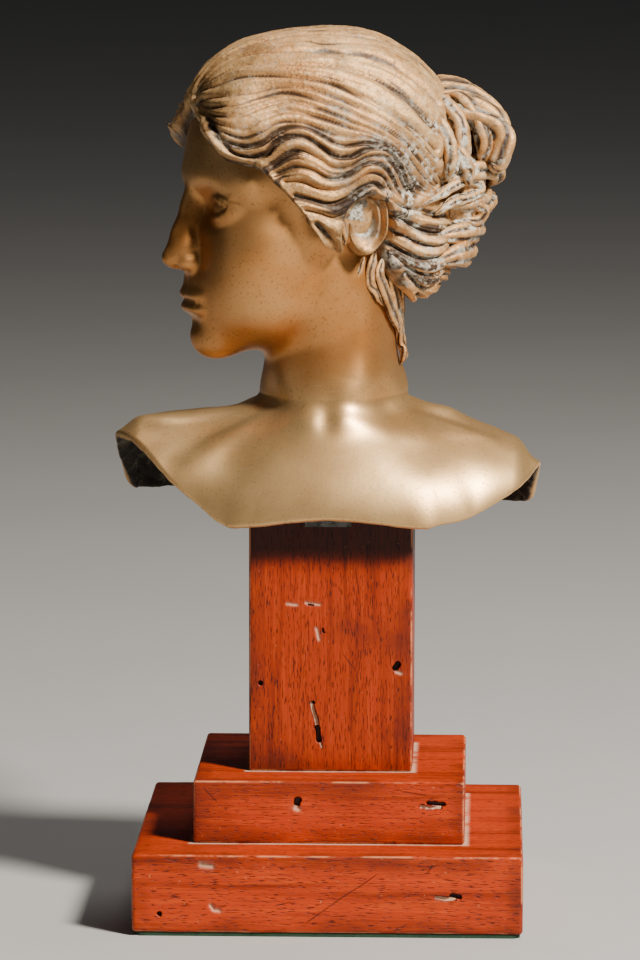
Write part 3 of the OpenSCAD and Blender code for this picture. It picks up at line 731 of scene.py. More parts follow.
def lock_relief(p, partings, seed):
    """Height of the locks over the mass of the hair, and how deep in a groove each point is.

    Between two neighbouring partings the lock is a half round, sin(pi u), where u runs from
    one parting to the other by distance. Each parting is a bell-shaped groove. Fine strands
    are drawn-out noise across the same u, so that they follow the locks."""
    lines = [lay_on_hair(kind, knots) for kind, knots, _, _, _ in partings]
    d = np.array([line_distance(p, line) for line in lines])
    near = d.argmin(0)
    cell = np.arange(len(p))
    last = len(lines) - 1
    before = np.where(near > 0, d[np.maximum(near - 1, 0), cell], 1e9)
    after = np.where(near < last, d[np.minimum(near + 1, last), cell], 1e9)
    upper = np.where(before < after, near - 1, near)
    dn = d[near, cell]
    other = np.minimum(before, after)
    u_from_near = dn / (dn + other)
    u = np.where(before < after, 1 - u_from_near, u_from_near)
    width = dn + other
    crown = np.array([row[4] for row in partings])[upper]
    outer = ease((9.0 - dn) / 6.0)
    body = crown * np.sin(math.pi * u) ** 0.7 * np.clip(width / 5.0, 0.3, 1.3) * outer
    groove = np.zeros(len(p))
    for i, (_, _, depth, half, _) in enumerate(partings):
        groove = np.maximum(groove, depth * np.exp(-(d[i] / half) ** 1.5))
    phase = upper + u
    wave = 0.08 * noise3(p, 9.0, seed + 3) + 0.16 * noise3(p, 17.0, seed + 4)
    fine = np.zeros(len(p))
    for cells, share, lengths in ((2, 0.50, 0.035), (4, 0.46, 0.05), (8, 0.30, 0.08)):
        across = (phase + wave) / 32.0
        ridge = streaks(across, p[:, 1] * lengths, cells * 32, 1.0, seed + cells)
        fine += share * (1 - 2.2 * np.abs(ridge)) * ease((width / cells - 0.35) / 0.4)
    return body, groove, fine


def hair_directions(rows, own, rest, side):
    """Rays from the middle of the hair: columns go round the fore-and-aft axis, rows from the
    point straight behind to past the hairline. Most columns lie on the given side."""
    psi = np.radians(np.concatenate([np.linspace(-3, 183, own, endpoint=False),
                                     np.linspace(183, 357, rest, endpoint=False)]))
    turn = np.degrees(np.minimum(np.abs(psi), np.abs(2 * math.pi - psi)))
    knots = np.array(HAIRLINE, dtype=float)
    shares = [np.interp(turn + k * 1.2, knots[:, 0], knots[:, 1]) for k in range(-3, 4)]
    edge = sum(shares) / 7 + 1.3 * streaks(psi / (2 * math.pi), psi * 0, 70, 1.0, 77)
    other = ease((np.degrees(psi) - 183) / 5) * ease((357 - np.degrees(psi)) / 5)
    t = np.linspace(0, 1, rows) ** 0.85
    a = np.radians(edge)[None, :] * t[:, None] * 1.03
    rays = np.stack([side * np.sin(a) * np.sin(psi), np.cos(a), np.sin(a) * np.cos(psi)], -1)
    return rays, t, other


def make_hair(side, relief=1.0):
    """Half of the dressed hair as a closed cap over the skull: the mass, its locks and strands.

    The half on the other side lies sunk under the skin, so the two halves meet at the parting."""
    rows, own, rest, thin = 236, 340, 34, 8
    cols = own + rest
    rays, t, other = hair_directions(rows, own, rest, side)
    rays[0] = STRAIGHT_BACK + 0.004 * (rays[1] - STRAIGHT_BACK)
    far = reach(hair_field, HAIR_C, rays, 5, 90)
    base = HAIR_C + rays * far[..., None]
    real = base.reshape(-1, 3)
    p = real * np.array([side, 1.0, 1.0])
    share = ease((p[:, 1] - 15) / 7) * ease((66 - p[:, 2]) / 7) * ease((p[:, 0] - 2) / 8)
    body, groove, fine = (over * (1 - share) + nape * share for over, nape in zip(
        lock_relief(p, PARTINGS, 11), lock_relief(p, NAPE_PARTINGS, 12)))
    deep = np.clip(body / 1.4, 0.35, 1.0)
    vary = 0.75 + 0.45 * noise3(real, 7.0, 15)
    crumb = noise3(real, 1.3, 16) * (0.5 + 0.5 * noise3(real, 6.0, 17))
    height = body - groove * vary + (0.52 + 0.26 * deep) * fine + 0.16 * crumb
    for place, lift, wide in SWELLS:
        height += lift * bell(np.linalg.norm(p - np.array(place), axis=1), wide)
    window = np.hypot((p[:, 1] - EAR_MIDDLE[0]) / EAR_HALF[0],
                      (p[:, 2] - EAR_MIDDLE[1]) / EAR_HALF[1])
    window = ease((1.12 - window) / 0.16)
    height = relief * height + 0.25 * noise3(real, 8.0, 14)
    height = height * (1 - window) - 5.0 * window
    edge = ease((1 - t) / 0.03)[:, None] * np.ones((1, cols))
    lift = height.reshape(rows, cols) * (0.35 + 0.65 * edge) + 0.9 * edge - 3.4 * (1 - edge)
    lift = lift * (1 - other) - 6.0 * other
    grid = base + rays * lift[..., None]
    furrow = np.clip(groove * vary / 1.3 + 0.75 * np.clip(0.15 - fine, 0, 1) * (0.80 + 0.8 * deep)
                     - 0.25 * np.clip(fine, 0, 1), 0, 1)
    furrow = np.maximum(furrow.reshape(rows, cols), 1 - edge)
    inner = HAIR_C + rays[::-1][::thin] * (far[::-1][::thin, :, None] - HAIR_WALL)
    rows_in = inner.shape[0]
    points = np.concatenate([grid.reshape(-1, 3), inner.reshape(-1, 3),
                             [grid[0].mean(0)], [inner[-1].mean(0)]])
    marks = {"furrow": np.concatenate([furrow.ravel(), np.ones(rows_in * cols + 2)])}
    first = rows * cols
    poles = first + rows_in * cols
    turned = side < 0
    quads = np.concatenate([grid_quads(rows, cols, 0, turned),
                            join_rows((rows - 1) * cols, first, cols, turned),
                            grid_quads(rows_in, cols, first, turned)])
    tris = np.concatenate([pole_tris(0, poles, cols, not turned),
                           pole_tris(first + (rows_in - 1) * cols, poles + 1, cols, turned)])
    name = "hair_near" if side > 0 else "hair_far"
    return build_mesh(name, head_to_world(points), quads, tris, marks)


def capped(rows, first_tip, last_tip, furrow, flip=False):
    """A form closed by a point at each end of its rows: points, furrow depth, quads, triangles."""
    count, cols = rows.shape[0] * rows.shape[1], rows.shape[1]
    points = np.concatenate([rows.reshape(-1, 3), [first_tip], [last_tip]])
    furrow = np.broadcast_to(furrow, rows.shape[:2]).ravel()
    tris = np.concatenate([pole_tris(0, count, cols, not flip),
                           pole_tris(count - cols, count + 1, cols, flip)])
    return (points, np.concatenate([furrow, [1.0, 1.0]]),
            grid_quads(rows.shape[0], cols, flip=flip), tris)


def lock(knots, width, height, centre, strands=5, twist=0.0, groove=0.16, seed=1, cols=36,
         per_gap=9):
    """One lock of hair: an oval carried along a smooth line, pinched at both ends.

    The oval is width across and height outwards from the given centre, and its radius dips
    by groove times |cos(strands a / 2 + twist s)|^4 so that strands run and twist along it."""
    knots = np.array(knots, dtype=float)
    sizes = smooth_line(np.stack([np.broadcast_to(width, len(knots)),
                                  np.broadcast_to(height, len(knots))], 1), per_gap)
    line = smooth_line(knots, per_gap)
    rows = len(line)
    s = np.linspace(0, 1, rows)
    ahead = unit(np.gradient(line, axis=0))
    out = line - np.array(centre)
    out = unit(out - (out * ahead).sum(1, keepdims=True) * ahead)
    side = np.cross(ahead, out)
    a = np.arange(cols) / cols * 2 * math.pi
    tip = np.sqrt(np.clip(1 - np.abs(2 * s - 1) ** 6, 0.02, 1))
    wave = 0.5 * noise3(np.stack([s * 6, s * 0, s * 0], 1), 1.0, seed)
    dip = np.abs(np.cos(strands * a[None, :] / 2 + (twist * s * 6 + wave * 2)[:, None])) ** 4
    across = (a / (2 * math.pi))[None, :] + (wave * 0.05 + twist * s * 0.3)[:, None]
    along = s[:, None] * np.ones((1, cols))
    fine = 0.5 + 0.5 * streaks(across, along, strands * 4, 5.0, seed + 1)
    radius = (1 - groove * dip - 0.06 * fine) * tip[:, None]
    ring = (side[:, None, :] * (np.cos(a)[None, :, None] * sizes[:, 0, None, None])
            + out[:, None, :] * (np.sin(a)[None, :, None] * sizes[:, 1, None, None]))
    points = line[:, None, :] + ring * radius[..., None]
    rough = 0.30 * noise3(points, 2.6, seed + 2) + 0.16 * noise3(points, 1.2, seed + 3)
    points = points + unit(ring) * (rough * tip[:, None])[..., None]
    shaded = (0.75 + 0.25 * (np.sin(a) < 0.2))[None, :]
    furrow = np.clip(dip * 0.9 + 0.3 * (1 - fine), 0, 1) * shaded
    return capped(points, line[0], line[-1], furrow, True)


def egg_mass(centre, radii, seed, rows=60, cols=90):
    """An egg-shaped mass with strands running over it from end to end."""
    a = np.arange(cols) / cols * 2 * math.pi
    e = np.linspace(-math.pi / 2, math.pi / 2, rows)[1:-1]
    d = np.stack([np.cos(e)[:, None] * np.cos(a)[None], np.cos(e)[:, None] * np.sin(a)[None],
                  np.sin(e)[:, None] * np.ones((1, cols))], -1)
    fine = streaks((a / (2 * math.pi))[None, :] * np.ones((rows - 2, 1)),
                   e[:, None] * np.ones((1, cols)), 34, 0.7, seed)
    centre, tip = np.array(centre), np.array([0, 0, radii[2]])
    p = centre + d * np.array(radii) * (1 - 0.05 * np.abs(fine))[..., None]
    return capped(p, centre - tip, centre + tip, (1 - np.abs(fine)) ** 3 * 0.6)


def gather(name, forms):
    """One piece from many closed forms in the head's frame."""
    points, furrows, quads, tris, base = [], [], [], [], 0
    for p, f, q, t in forms:
        points.append(p)
        furrows.append(f)
        quads.append(q + base)
        tris.append(t + base)
        base += len(p)
    return build_mesh(name, head_to_world(np.concatenate(points)), np.concatenate(quads),
                      np.concatenate(tris), {"furrow": np.concatenate(furrows)})


def both_sides(knots):
    """The knots and their mirror image across the middle of the head."""
    k = np.array(knots, dtype=float)
    return [k, (k * np.array([-1.0, 1, 1]))[::-1]]


KNOT_C = (0, 50, 62)
# Locks that wrap each side of the knot: knots and half width.
SIDE_WRAPS = [
    ([(16, 41, 96), (21, 46, 94.5), (25, 50, 88), (26, 52, 79), (23.5, 53, 70)], 3.4),
    ([(15, 48, 98), (20.5, 54, 95), (23.5, 59, 87), (23.5, 61, 78), (20, 60, 70)], 3.8),
    ([(20, 38, 91), (26, 42, 88), (29, 45, 81), (29.5, 46, 73), (28, 45, 66)], 3.0),
    ([(22, 57, 84), (22, 62.5, 80), (20, 65.5, 75), (17, 65, 69)], 3.4),
    ([(26, 45, 80), (28, 50, 76), (27, 53, 70), (25, 54, 64)], 3.2),
]
# Twisted coils across the knot: knots, half widths, half heights, strands, twist, seed, columns.
COILS = [
    ([(25, 42, 66), (22.5, 53, 69), (17, 64, 71), (7, 70.2, 69), (-4, 70.6, 67), (-15, 66, 65),
      (-22, 55, 66), (-25, 43, 69)],
     [4, 5.2, 6.2, 6.4, 6.4, 6, 5, 4], [4, 5, 5.4, 5.6, 5.6, 5.2, 5, 4], 6, 2.6, 81, 48),
    ([(-25, 44, 56), (-20, 56, 58), (-11, 65, 59.5), (0, 67.5, 58), (11, 65.5, 57), (19, 57, 58),
      (25, 45, 58)],
     [3.5, 4.6, 5.2, 5.4, 5.2, 4.6, 3.5], [3.5, 4.4, 5, 5, 5, 4.4, 3.5], 5, -2.2, 83, 44),
]
# The small flat knot of each side: knots, half widths, half heights, twist, seed.
FLAT_KNOTS = [
    ([(29, 34, 57.5), (27.5, 43, 62), (24, 51.5, 66), (21, 58.5, 65.5), (20.5, 60.5, 62),
      (23, 56, 60), (26.5, 48, 58.5), (28, 40, 54)],
     [1.8, 2.2, 2.4, 2.3, 2, 2.2, 2.2, 1.6], [2, 2.4, 2.6, 2.4, 2.2, 2.2, 2, 1.6], 0.5, 87),
    ([(21, 57, 57), (19, 62, 55), (18.5, 60, 51), (21, 54, 51)],
     [2.2, 2.8, 2.6, 1.8], [2.4, 2.8, 2.6, 2], 0.3, 89),
]


def fan_of_loops():
    """Nine loops side by side that come over the top of the knot and turn down behind it."""
    forms = []
    for i in range(9):
        x = (i - 4) * 6.0
        drop = 0.016 * x * x
        thick = (4.6, 5.4)[i % 2]
        reach_back = 71.5 - 0.012 * x * x + (1.2, -1.0)[i % 2]
        path = [(x * 0.72, 40, 94 - drop), (x * 0.82, 48, 99.5 - drop), (x * 0.95, 58, 98 - drop),
                (x, 67, 91.5 - drop), (x, reach_back, 82 - drop), (x * 0.9, reach_back - 3, 72.5)]
        forms.append(lock(path, [2.5, 3.6, thick * 0.8, thick, thick, 3], [3, 4, 5.5, 6, 5, 3],
                          KNOT_C, 4, 0.15, 0.2, 60 + i))
    return forms


def wraps_and_coils():
    """Short ends under the fan, the wraps at both sides, the coils across and the flat knots."""
    forms = []
    for x in (6.5, 19):
        path = [(x, 62, 86), (x * 1.05, 68 - 0.012 * x * x, 81), (x, 70.5 - 0.014 * x * x, 74),
                (x * 0.9, 67 - 0.01 * x * x, 69)]
        for k in both_sides(path):
            forms.append(lock(k, [2.6, 4.4, 4.2, 2.6], [2.4, 3.6, 3.6, 2.4], KNOT_C,
                              5, 0.1, 0.2, 75 + int(x)))
    for path, w in SIDE_WRAPS:
        n = len(path)
        for k in both_sides(path):
            forms.append(lock(k, [1.6] + [w] * (n - 2) + [1.8], [1.6] + [w * 0.9] * (n - 2) + [1.8],
                              KNOT_C, 4, 0.12, 0.2, int(w * 10) + n))
    for path, wide, tall, strands, twist, seed, cols in COILS:
        forms.append(lock(path, wide, tall, KNOT_C, strands, twist, 0.22, seed, cols, 16))
    for path, wide, tall, twist, seed in FLAT_KNOTS:
        for k in both_sides(path):
            forms.append(lock(k, wide, tall, KNOT_C, 4, twist, 0.2, seed))
    return forms


def rolls_below():
    """Three heavy rolls under the knot, one below the other, the last one shorter."""
    forms = []
    for i, (z, y, r) in enumerate(((47.5, 61.5, 6.2), (39.5, 57.5, 7.2), (33, 50, 5.6))):
        near = [(24, 41, z - 3), (20.5, 50, z - 1), (12.5, y - 2.5, z)]
        path = near + [(0, y, z + 1)] + [(-x, back, up) for x, back, up in near[::-1]]
        if i == 2:
            path = [(x * 0.8, back - 4, up) for x, back, up in path]
        thick = [3.5, r * 0.8, r, r, r, r * 0.8, 3.5]
        forms.append(lock(path, thick, thick, KNOT_C, 7, 0.6 * (-1) ** i, 0.14, 91 + i, 52, 12))
    return forms


def make_chignon():
    """The knot at the back: loops that fan over the top, two twisted coils, a small flat knot
    at each side, and a heavy roll below."""
    forms = [egg_mass((0, 55, 62), (22, 13, 31), 5)] + fan_of_loops() + wraps_and_coils()
    return gather("chignon_hair", forms + rolls_below())


# Flicks at the forehead and ends of the side locks: knots, half widths, half heights, strands, seed.
FLICKS = [
    ([(16, -33, 86.5), (20, -31.5, 82), (24, -29, 78.5), (28, -25, 77), (30.5, -19, 77.5)],
     [1.2, 1.8, 2.0, 1.8, 1.0], [1.0, 1.4, 1.6, 1.4, 0.8], 3, 21),
    ([(36, -7, 60), (36.2, -4.5, 53), (35.2, -2.2, 47), (33.6, 0.2, 42)],
     [1.6, 2.4, 2.0, 0.8], [1.2, 1.6, 1.5, 0.7], 4, 23),
    ([(37, -3, 60), (37, 0, 54), (36, 1.8, 48), (34.5, 2.6, 44)],
     [1.4, 1.9, 1.6, 0.8], [1.2, 1.5, 1.3, 0.7], 4, 25),
]
# Wisps and a curl below the hair at the nape: knots and half widths.
WISPS = [
    ([(24.5, 18, 42), (24.6, 16.5, 35), (24.0, 16.4, 29), (23.2, 19.5, 24), (21.6, 22.4, 20)],
     [1.3, 2.2, 2.4, 2.0, 0.7]),
    ([(23.5, 21, 38), (23.6, 20, 31), (21.6, 23.6, 23), (17.8, 27.8, 15), (13, 31.4, 9)],
     [1.6, 2.8, 2.9, 2.5, 1.0]),
    ([(21, 26, 36), (20.6, 25.8, 29), (18.2, 28.2, 22), (14.6, 30.6, 16), (11.4, 32.2, 9),
      (9.4, 33.6, 4.5), (10.4, 34.2, 0), (8.4, 33.4, -3)],
     [2.0, 3.0, 3.0, 2.7, 2.5, 2.8, 2.6, 1.0]),
    ([(14, 31.5, 34), (14, 31.2, 27), (11, 32.6, 20), (8, 33.4, 13), (6.5, 33.9, 8)],
     [2.2, 3.2, 2.9, 2.3, 0.9]),
    ([(6.5, 34.4, 34), (6, 34.2, 27), (3.5, 34.6, 19), (1.5, 34.8, 12)], [2.4, 3.2, 2.6, 1.0]),
    ([(25.4, 13.5, 39), (25.0, 11.5, 34), (24.8, 11.0, 30), (24.6, 12.6, 26)],
     [0.9, 1.4, 1.2, 0.5]),
]
SKULL_C, NAPE_C = (0, 5, 60), (0, 9, 20)


def make_loose_locks():
    """Flicks at the forehead, ends of the side locks before the ears, and wisps at the nape."""
    forms = []
    for path, wide, tall, strands, seed in FLICKS:
        for k in both_sides(path):
            forms.append(lock(k, wide, tall, SKULL_C, strands, 0.1, 0.22, seed))
    for i, (path, widths) in enumerate(WISPS):
        for k in both_sides(path):
            wide = widths if k[0][0] > 0 or i == 4 else widths[::-1]
            forms.append(lock(k, wide, [w * 0.62 for w in wide], NAPE_C, 4, 0.12, 0.24, 27 + i))
    return gather("loose_locks", forms)


# ---- ears ----

def ear_form(s):
    """One ear: a plate in polar form whose height follows its ridges and hollows.

    Across the plate the height is a sum of bell-shaped rings: the rim, the groove inside it,
    the inner ridge and the bowl. The rim fades towards the front, where the small flap stands."""
    rows, cols = 44, 88
    t = np.linspace(0, 1, rows)[1:, None]
    a = (np.arange(cols) / cols * 2 * math.pi)[None, :]
    back, up = np.cos(a), np.sin(a)
    wide = 8.2 + 1.0 * up
    tall = np.where(up > 0, 14.5, 14.0 - 2.0 * back ** 2)
    v = t * wide * back
    w = t * tall * up
    v = v + 1.6 * ease((w + 2) / 16) - 1.3 * ease((-w - 4) / 10)
    rear = ease((back + 0.75) / 0.9)
    lobe = ease((-up - 0.55) / 0.35)
    rim = 2.3 * bell(t - 0.88, 0.11) * rear * (1 - 0.5 * lobe)
    groove = -0.5 * bell(t - 0.70, 0.09) * rear * (1 - lobe)
    inner = 1.7 * bell(t - 0.55, 0.10) * ease((back + 0.2) / 0.5) * (1 - lobe)
    bowl = -3.6 * bell(v + 0.6, 3.6) * bell(w + 1.2, 5.2)
    flap = 1.9 * bell(v + 5.6, 1.7) * bell(w + 1.4, 3.0)
    plump = 1.3 * bell(v + 2.2, 3.4) * bell(w + 11.2, 3.2)
    fall = -7.0 * ease((t - 0.93) / 0.07)
    h = 2.0 + 1.5 * t * back + rim + groove + inner + bowl + flap + plump + fall
    outward = 33.2 + h + 0.05 * (w + 2)
    p = np.stack([outward, 10.5 + v - 0.18 * w, 53.5 + w], -1)
    p[..., 0] -= 0.21 * np.maximum(-w - 4, 0)
    deep = np.clip(-(bowl + groove * 1.5) / 2.2, 0, 1)
    root = np.array([24.0, 12.0, 52.0])
    points, deep, quads, tris = capped(p, p[0].mean(0), root, deep)
    if s < 0:
        points[:, 0] *= -1
        quads, tris = quads[:, ::-1], tris[:, ::-1]
    return points, deep, quads, tris


def make_ears():
    """Both ears as one piece."""
    return gather("ears", [ear_form(1), ear_form(-1)])


# ---- the wooden blocks ----

POST_LOW, POST_HIGH = corner_mm("post", False), corner_mm("post", True)
UPPER_LOW, UPPER_HIGH = corner_mm("upper_plinth", False), corner_mm("upper_plinth", True)
LOWER_LOW, LOWER_HIGH = corner_mm("lower_plinth", False), corner_mm("lower_plinth", True)
# A side's two own axes, the axis it faces along, and which way.
SIDES = {"front": (0, 2, 1, -1), "back": (0, 2, 1, 1), "left": (1, 2, 0, -1), "right": (1, 2, 0, 1)}

# A fault is: kind, side, knots across and up that side, half width, depth, all in millimetres.
POST_FAULTS = [
    ("hole", "front", [(-26, 87)], 0.8, 2.5),
    ("hole", "front", [(23.9, 92.8), (24.9, 94.4)], 1.0, 3.0),
    ("dent", "front", [(24.6, 91.4), (26.0, 91.0)], 0.6, 0.4),
    ("track", "front", [(-7.0, 79.6), (-6.6, 77.2), (-5.6, 74.4), (-5.0, 71.6)], 0.75, 1.0),
    ("hole", "front", [(-4.9, 70.2), (-4.3, 65.8)], 0.95, 2.6),
    ("track", "front", [(-3.6, 64.6), (-3.2, 63.2)], 0.5, 0.6),
    ("hole", "front", [(-6.3, 79.9)], 0.5, 1.6),
    ("dent", "front", [(-16, 116.8), (-12.5, 116.4)], 0.5, 0.3),
    ("hole", "front", [(-8.2, 116.5), (-6.6, 116.3)], 0.4, 0.8),
    ("dent", "front", [(-9.0, 117.2), (-4.2, 116.6)], 0.5, 0.4),
    ("dent", "front", [(-5.2, 107.6), (-4.4, 103.6)], 0.55, 0.35),
    ("hole", "front", [(-3.0, 107.4), (-2.6, 106.2)], 0.4, 0.8),
    ("hole", "left", [(-9, 101)], 0.7, 2.5),
    ("hole", "right", [(12, 74)], 0.8, 2.5),
    ("track", "right", [(-14, 118), (-13, 111), (-15, 105)], 0.6, 0.8),
    ("hole", "back", [(8, 121)], 0.75, 2.5),
    ("dent", "back", [(-18, 90), (-12, 89)], 0.8, 0.4),
]
UPPER_FAULTS = [
    ("hole", "front", [(-11.8, 45.6), (-11.4, 46.6)], 1.3, 2.6),
    ("dent", "front", [(-12.2, 43.8), (-11.2, 43.4)], 0.9, 0.6),
    ("hole", "front", [(36.8, 46.0), (42.2, 45.6)], 0.75, 1.8),
    ("track", "front", [(34.2, 44.6), (38, 44.2), (41.0, 44.5)], 0.7, 0.8),
    ("hole", "left", [(18, 42)], 0.7, 2.4),
    ("track", "back", [(-30, 41), (-22, 42), (-17, 40.6)], 0.7, 0.8),
    ("hole", "right", [(-20, 38)], 0.75, 2.4),
]
LOWER_FAULTS = [
    ("hole", "front", [(-61.2, 8.3)], 0.85, 2.5),
    ("dent", "front", [(-42.4, 11.6), (-41.3, 10.0), (-39.3, 9.6)], 0.7, 0.6),
    ("track", "front", [(40, 15.2), (43.5, 14.6), (46.5, 14.8)], 0.8, 0.9),
    ("hole", "front", [(45.6, 15.9), (48.4, 15.5)], 0.8, 1.8),
    ("dent", "front", [(-46, 26.4), (-42, 26.0)], 0.8, 0.5),
    ("hole", "left", [(-34, 19)], 0.8, 2.5),
    ("hole", "right", [(28, 12)], 0.8, 2.5),
    ("track", "back", [(12, 20), (20, 19), (27, 20.4)], 0.7, 0.9),
    ("dent", "back", [(-45, 8), (-38, 9)], 0.9, 0.5),
]

FAULT_STEP = {"hole": 0.25, "track": 0.55, "dent": 0.6}     # millimetres between grid lines there

# A scratch on the front: from and to, across and up, then its half width.
POST_SCRATCHES = [((9, 131), (10.5, 120), 0.25), ((4, 99), (10, 91), 0.25)]
UPPER_SCRATCHES = [((-47, 51.6), (-41, 45), 0.4), ((24, 51.4), (37, 49.2), 0.35)]
LOWER_SCRATCHES = [((-8, 5.3), (19, 24), 0.4), ((-47, 27.2), (-40, 26.6), 0.8),
                   ((32, 26.8), (40, 26.2), 0.6), ((36, 23.4), (38.6, 27.4), 0.5),
                   ((-20, 12), (-12, 13.5), 0.3)]


def axis_lines(low, high, edge, spacing, close_to):
    """Places of grid lines along one axis: even, closer in the rounded edge and at faults."""
    lines = [np.linspace(low, high, int((high - low) / spacing) + 2)]
    ramp = edge * (1 - np.cos(np.linspace(0, math.pi / 2, 6)))
    lines += [low + ramp, high - ramp]
    lines += [np.clip(np.arange(a, b, step), low + edge, high - edge)
              for a, b, step in close_to]
    lines = np.unique(np.round(np.concatenate(lines), 2))
    keep = np.concatenate([[True], np.diff(lines) > 0.055])
    keep[-1] = True
    return lines[keep]


def box_shell(xs, ys, zs):
    """Points and quads of the six sides of a box on shared grid lines, with the edges merged."""
    points, quads, base = [], [], 0
    for a, b, c in ((0, 1, 2), (1, 2, 0), (2, 0, 1)):
        lines = (xs, ys, zs)
        u, v = np.meshgrid(lines[a], lines[b], indexing="ij")
        rows, cols = u.shape
        for end in (0, -1):
            p = np.zeros((rows, cols, 3))
            p[..., a], p[..., b], p[..., c] = u, v, lines[c][end]
            points.append(p.reshape(-1, 3))
            quads.append(grid_quads(rows, cols, base, end == -1, closed=False)[:, ::-1])
            base += rows * cols
    points = np.concatenate(points)
    quads = np.concatenate(quads)
    # Points that agree to 0.01 mm get the same key, and become one.
    key = np.round(points * 100).astype(np.int64) + 50000
    key = (key[:, 0] * 200000 + key[:, 1]) * 200000 + key[:, 2]
    _, first, where = np.unique(key, return_index=True, return_inverse=True)
    return points[first], where.reshape(-1)[quads]


def wooden_block(name, low, high, edge, faults, seed, spacing):
    """A block with softly rounded, unevenly worn edges, holes, tracks and dents.

    Each point of the sharp box is drawn to the nearest place at the edge's radius from the
    box shrunk by that radius. A fault sinks its side by a depth that depends on the distance
    from the fault's line: steep walls for a hole, a round groove for a track, a bell for a dent."""
    near = [[], [], []]
    for kind, side, knots, half, _ in faults:
        a, b, _, _ = SIDES[side]
        reach_out = half + 0.5
        k = np.array(knots)
        for axis, places in ((a, k[:, 0]), (b, k[:, 1])):
            near[axis].append((places.min() - reach_out, places.max() + reach_out, FAULT_STEP[kind]))
    most = edge * 2.2
    lines = [axis_lines(low[i], high[i], most, spacing, near[i]) for i in range(3)]
    points, quads = box_shell(*lines)
    worn = edge * (1.0 + 0.55 * noise3(points, 14.0, seed) + 0.35 * noise3(points, 5.0, seed + 1))
    to_edges = np.sort(np.minimum(points - low, high - points), 1)[:, 1]
    worn = np.clip(worn + 0.9 * bell(to_edges, 5.0), 0.3, most)[:, None]
    core = np.clip(points, low + worn, high - worn)
    uneven = (0.06 * noise3(points, 22.0, seed + 2))[:, None]
    surface = core + unit(points - core) * (worn + uneven)
    dust = np.zeros(len(points))
    dark = np.zeros(len(points))
    for kind, side, knots, half, depth in faults:
        a, b, c, s = SIDES[side]
        face = high[c] if s > 0 else low[c]
        on_side = np.abs(points[:, c] - face) < 0.02
        flat = points[:, [a, b]]
        wobble = 0.18 * half * noise3(points, half * 1.1, seed + 7)
        if len(knots) == 1:
            d = np.linalg.norm(flat - np.array(knots[0]), axis=1)
        else:
            d = to_polyline(flat, knots)
        share = (d + wobble) / half
        if kind == "hole":
            drop = depth * ease((1.15 - share) / 0.35)
            dark = np.maximum(dark, on_side * ease((1.25 - share) / 0.4))
        elif kind == "track":
            drop = depth * np.sqrt(np.clip(1.1 - share ** 2, 0, 1))
            dark = np.maximum(dark, on_side * 0.8 * bell(share - 1.0, 0.35))
            dust = np.maximum(dust, on_side * ease((0.85 - share) / 0.4))
        else:
            drop = depth * bell(share)
            dust = np.maximum(dust, on_side * 0.7 * bell(share))
        surface[:, c] -= s * drop * on_side
    marks = {"edge_mm": to_edges, "dust": dust, "dark": dark}
    return build_mesh(name, surface, quads, marks=marks)


def make_post(edge):
    """The upright block under the bust."""
    return wooden_block("post_block", POST_LOW, POST_HIGH, edge * 0.9, POST_FAULTS, 31, 3.4)


def make_upper_plinth(edge):
    """The smaller of the two square blocks."""
    return wooden_block("upper_plinth_block", UPPER_LOW, UPPER_HIGH, edge * 1.1, UPPER_FAULTS,
                        41, 3.2)


def make_lower_plinth(edge):
    """The larger square block, at the foot."""
    return wooden_block("lower_plinth_block", LOWER_LOW, LOWER_HIGH, edge * 1.3, LOWER_FAULTS,
                        51, 4.0)


# ---- shader maths ----

class Wire:
    """An output of a node, with arithmetic that adds Math nodes."""

    def __init__(self, finish, socket):
        self.finish, self.socket = finish, socket

    def maths(self, kind, *others, clamp=False):
        """The result of a Math node on this value and the others."""
        values = dict(enumerate((self,) + others))
        return self.finish.node("ShaderNodeMath", {"operation": kind, "use_clamp": clamp}, values)

    def __add__(self, other):
        return self.maths("ADD", other)

    def __mul__(self, other):
        return self.maths("MULTIPLY", other)

    def __sub__(self, other):
        return self.maths("SUBTRACT", other)

    def __rsub__(self, other):
        return self.finish.node("ShaderNodeMath", {"operation": "SUBTRACT"}, {0: other, 1: self})

    __radd__ = __add__
    __rmul__ = __mul__

    def held(self):
        """Kept between 0 and 1."""
        return self.maths("ADD", 0.0, clamp=True)

    def ramp(self, low, high):
        """A smooth step from 0 at low to 1 at high."""
        return self.finish.node("ShaderNodeMapRange", {"interpolation_type": "SMOOTHSTEP"},
                                {"Value": self, "From Min": low, "From Max": high})


